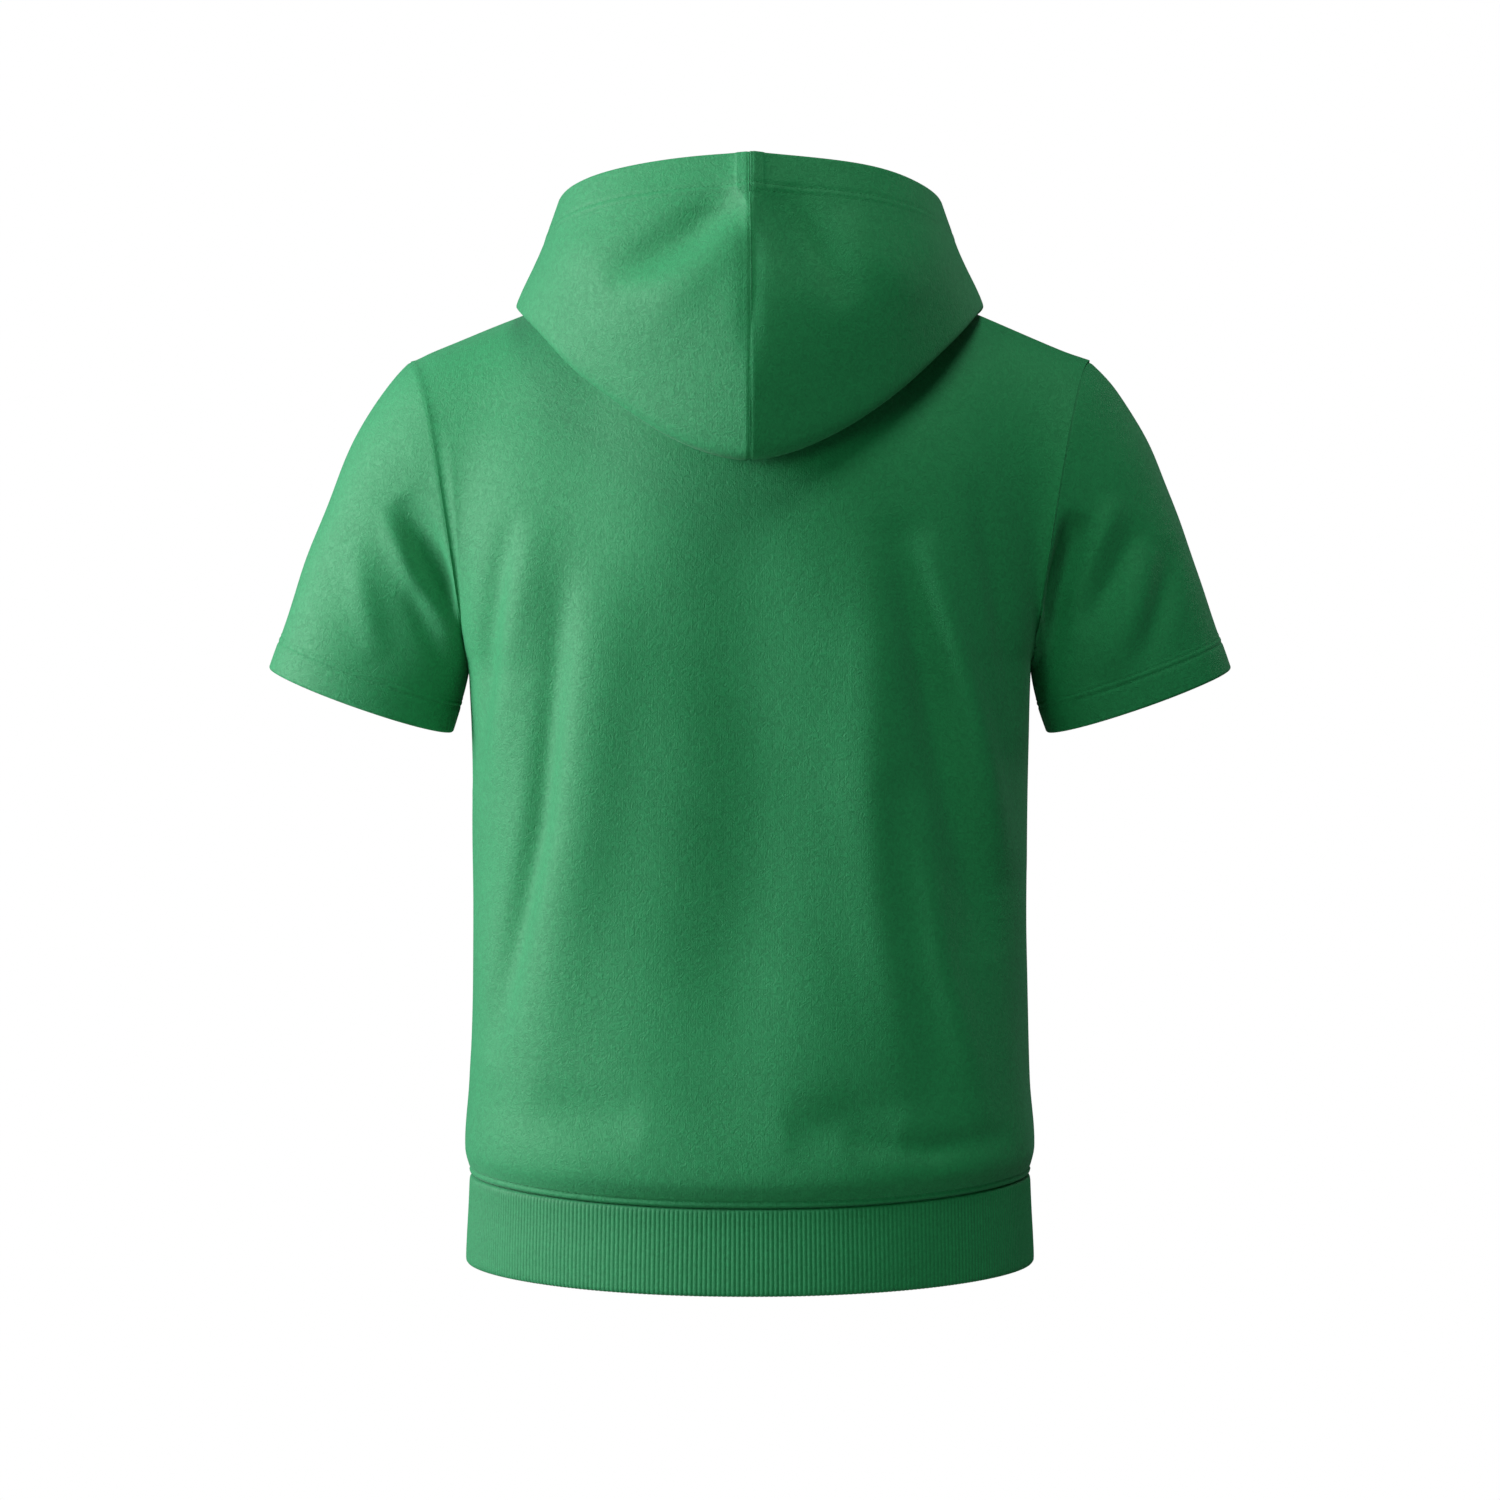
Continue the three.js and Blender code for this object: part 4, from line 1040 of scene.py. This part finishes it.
def sew(node, cloth, thickness, round_end=False):
    """Makes a draped jersey wall that stands for a solid, and keeps its cloth for the stitching."""
    CLOTHS[node] = cloth
    obj = wall_object(f"{node}_jersey", cloth, thickness, round_end)
    place(obj, cloth_material("jersey"), "jersey", node)


class GARMENT_OT_body(bpy.types.Operator):
    """Make the back and front panels, sewn to the rib band, the sleeves and the hood"""

    bl_idname = "garment.body"
    bl_label = "Body Panels"

    def execute(self, context):
        sizes = context.scene.garment_sizes
        for side in ("back", "front"):
            cloth = panel_cloth(side, sizes.ease / MM)
            sew(f"{side}_panel", cloth, sizes.jersey / MM)
        return {"FINISHED"}


class GARMENT_OT_sleeves(bpy.types.Operator):
    """Make the two short sleeves with their turned and twice stitched hems"""

    bl_idname = "garment.sleeves"
    bl_label = "Sleeves"

    def execute(self, context):
        sizes = context.scene.garment_sizes
        for side, sign in (("left", 1), ("right", -1)):
            cloth = sleeve_cloth(sign, sizes.ease / MM)
            sew(f"sleeve_{side}", cloth, cloth["thickness"], round_end=True)
        return {"FINISHED"}


class GARMENT_OT_hood(bpy.types.Operator):
    """Make the two halves of the hood, folded down behind the neck"""

    bl_idname = "garment.hood"
    bl_label = "Hood"

    def execute(self, context):
        sizes = context.scene.garment_sizes
        for side, sign in (("left", 1), ("right", -1)):
            cloth = hood_cloth(sign, sizes.ease / MM)
            sew(f"hood_{side}", cloth, cloth["thickness"], round_end=True)
        return {"FINISHED"}


class GARMENT_OT_waistband(bpy.types.Operator):
    """Make the double rib band at the hem, with a rounded wale for each rib"""

    bl_idname = "garment.waistband"
    bl_label = "Rib Band"

    def execute(self, context):
        sizes = context.scene.garment_sizes
        obj = band_object("waistband_rib", sizes.wales, 6)
        values = {"Wales": sizes.wales, "Rib Height": sizes.rib_height, "Material": cloth_material("rib")}
        grow(obj, rib_tree(), values)
        place(obj, cloth_material("rib"), "rib", "waistband")
        return {"FINISHED"}


class GARMENT_OT_stitching(bpy.types.Operator):
    """Lay the double stitching of the sleeve and hood hems and the single row above the rib band"""

    bl_idname = "garment.stitching"
    bl_label = "Stitching"

    def execute(self, context):
        sizes = context.scene.garment_sizes
        tree, thread = stitch_tree(), cloth_material("thread")
        sunk = -0.1
        for side in ("left", "right"):
            sleeve = CLOTHS["sleeve_" + side]
            lines = [(*line_on(sleeve, sleeve["from_edge"], d, lift=sunk), True) for d in SLEEVE_HEM]
            place(stitch_object(f"sleeve_{side}_stitching", lines, tree, sizes, thread), thread, "jersey")
        lines = []
        for side in ("left", "right"):
            hood = CLOTHS["hood_" + side]
            keep = slice(22, -2)
            lines += [(*line_on(hood, hood["from_edge"], d, keep, sunk), False) for d in HOOD_HEM]
        place(stitch_object("hood_stitching", lines, tree, sizes, thread), thread, "jersey")
        lines = []
        for side in ("back", "front"):
            panel = CLOTHS[side + "_panel"]
            lines.append((*line_on(panel, panel["from_seam"], WAIST_STITCH, slice(2, -2), sunk), False))
        place(stitch_object("waist_stitching", lines, tree, sizes, thread), thread, "jersey")
        return {"FINISHED"}


class GARMENT_OT_studio(bpy.types.Operator):
    """Set up the pale floor, the soft lights and the camera level with the middle of the back"""

    bl_idname = "garment.studio"
    bl_label = "Studio"

    def execute(self, context):
        scene, studio = context.scene, context.scene.garment_studio
        low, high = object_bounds()
        middle = (low + high) / 2
        floor_mesh = bpy.data.meshes.new("studio_floor")
        count, radius, level = 64, 9.0, low.z - 0.45
        turns = [2 * math.pi * k / count for k in range(count)]
        ring = [(radius * math.cos(turn), radius * math.sin(turn), level) for turn in turns]
        floor_mesh.from_pydata(ring, [], [list(range(count))])
        floor = add_object("studio_floor", floor_mesh)
        pale = bpy.data.materials.new("Pale floor")
        pale.use_nodes = True
        tree = pale.node_tree
        shader = tree.nodes["Principled BSDF"]
        shader.inputs["Base Color"].default_value = (0.25, 0.35, 0.29, 1)
        shader.inputs["Roughness"].default_value = 0.8
        white_for_camera(tree, tree.nodes["Material Output"], shader, studio.backdrop)
        floor_mesh.materials.append(pale)
        floor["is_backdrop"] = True

        world = bpy.data.worlds.new("Studio")
        scene.world = world
        world.use_nodes = True
        tree = world.node_tree
        room = tree.nodes["Background"]
        room.inputs["Color"].default_value = (0.5, 1.0, 0.72, 1)
        room.inputs["Strength"].default_value = studio.room
        white_for_camera(tree, tree.nodes["World Output"], room, studio.backdrop)

        target = (0, 0, middle.z + 0.05)
        area_light("key_light", (2.39, 0.58, 0.35), target, 1.1, studio.key, (1.0, 0.76, 0.9))
        area_light("fill_light", (1.4, 2.35, -0.1), target, 0.9, studio.fill, (0.4, 1.0, 0.7))
        area_light("top_light", (-0.6, 1.2, 2.2), target, 1.0, studio.top, (0.75, 1.0, 0.88))
        area_light("rim_light", (-1.9, -1.1, 0.6), target, 0.8, studio.rim, (1.0, 1.0, 1.0))

        lens = bpy.data.cameras.new("camera")
        lens.lens = studio.lens
        lens.sensor_width = 36.0
        lens.clip_start, lens.clip_end = 0.05, 60.0
        camera = add_object("camera", lens)
        camera.location = (0, studio.camera_distance, studio.camera_height)
        camera.rotation_euler = (math.pi / 2, 0, math.pi)
        scene.camera = camera
        scene.view_settings.view_transform = "Standard"
        return {"FINISHED"}


OPERATORS = (
    GARMENT_OT_body,
    GARMENT_OT_sleeves,
    GARMENT_OT_hood,
    GARMENT_OT_waistband,
    GARMENT_OT_stitching,
    GARMENT_OT_studio,
)


class GARMENT_PT_panel(bpy.types.Panel):
    """Sizes, colours and pieces of the garment"""

    bl_idname = "GARMENT_PT_panel"
    bl_label = "Hooded T-shirt"
    bl_space_type = "VIEW_3D"
    bl_region_type = "UI"
    bl_category = "Garment"

    def draw(self, context):
        for label, settings in (
            ("Sizes", context.scene.garment_sizes),
            ("Colours", context.scene.garment_colours),
            ("Studio", context.scene.garment_studio),
        ):
            box = self.layout.box()
            box.label(text=label)
            for key in settings.__class__.__annotations__:
                box.prop(settings, key)
        for operator in OPERATORS:
            self.layout.operator(operator.bl_idname)


GROUPS = (("garment_sizes", GarmentSizes), ("garment_colours", GarmentColours), ("garment_studio", StudioSettings))


def register():
    for name, group in GROUPS:
        bpy.utils.register_class(group)
        setattr(bpy.types.Scene, name, bpy.props.PointerProperty(type=group))
    for cls in (*OPERATORS, GARMENT_PT_panel):
        bpy.utils.register_class(cls)


def unregister():
    for cls in reversed((*OPERATORS, GARMENT_PT_panel)):
        bpy.utils.unregister_class(cls)
    for name, group in GROUPS:
        delattr(bpy.types.Scene, name)
        bpy.utils.unregister_class(group)


def main():
    register()
    bpy.ops.garment.body()
    bpy.ops.garment.sleeves()
    bpy.ops.garment.hood()
    bpy.ops.garment.waistband()
    bpy.ops.garment.stitching()
    bpy.ops.garment.studio()


if __name__ == "__main__":
    main()
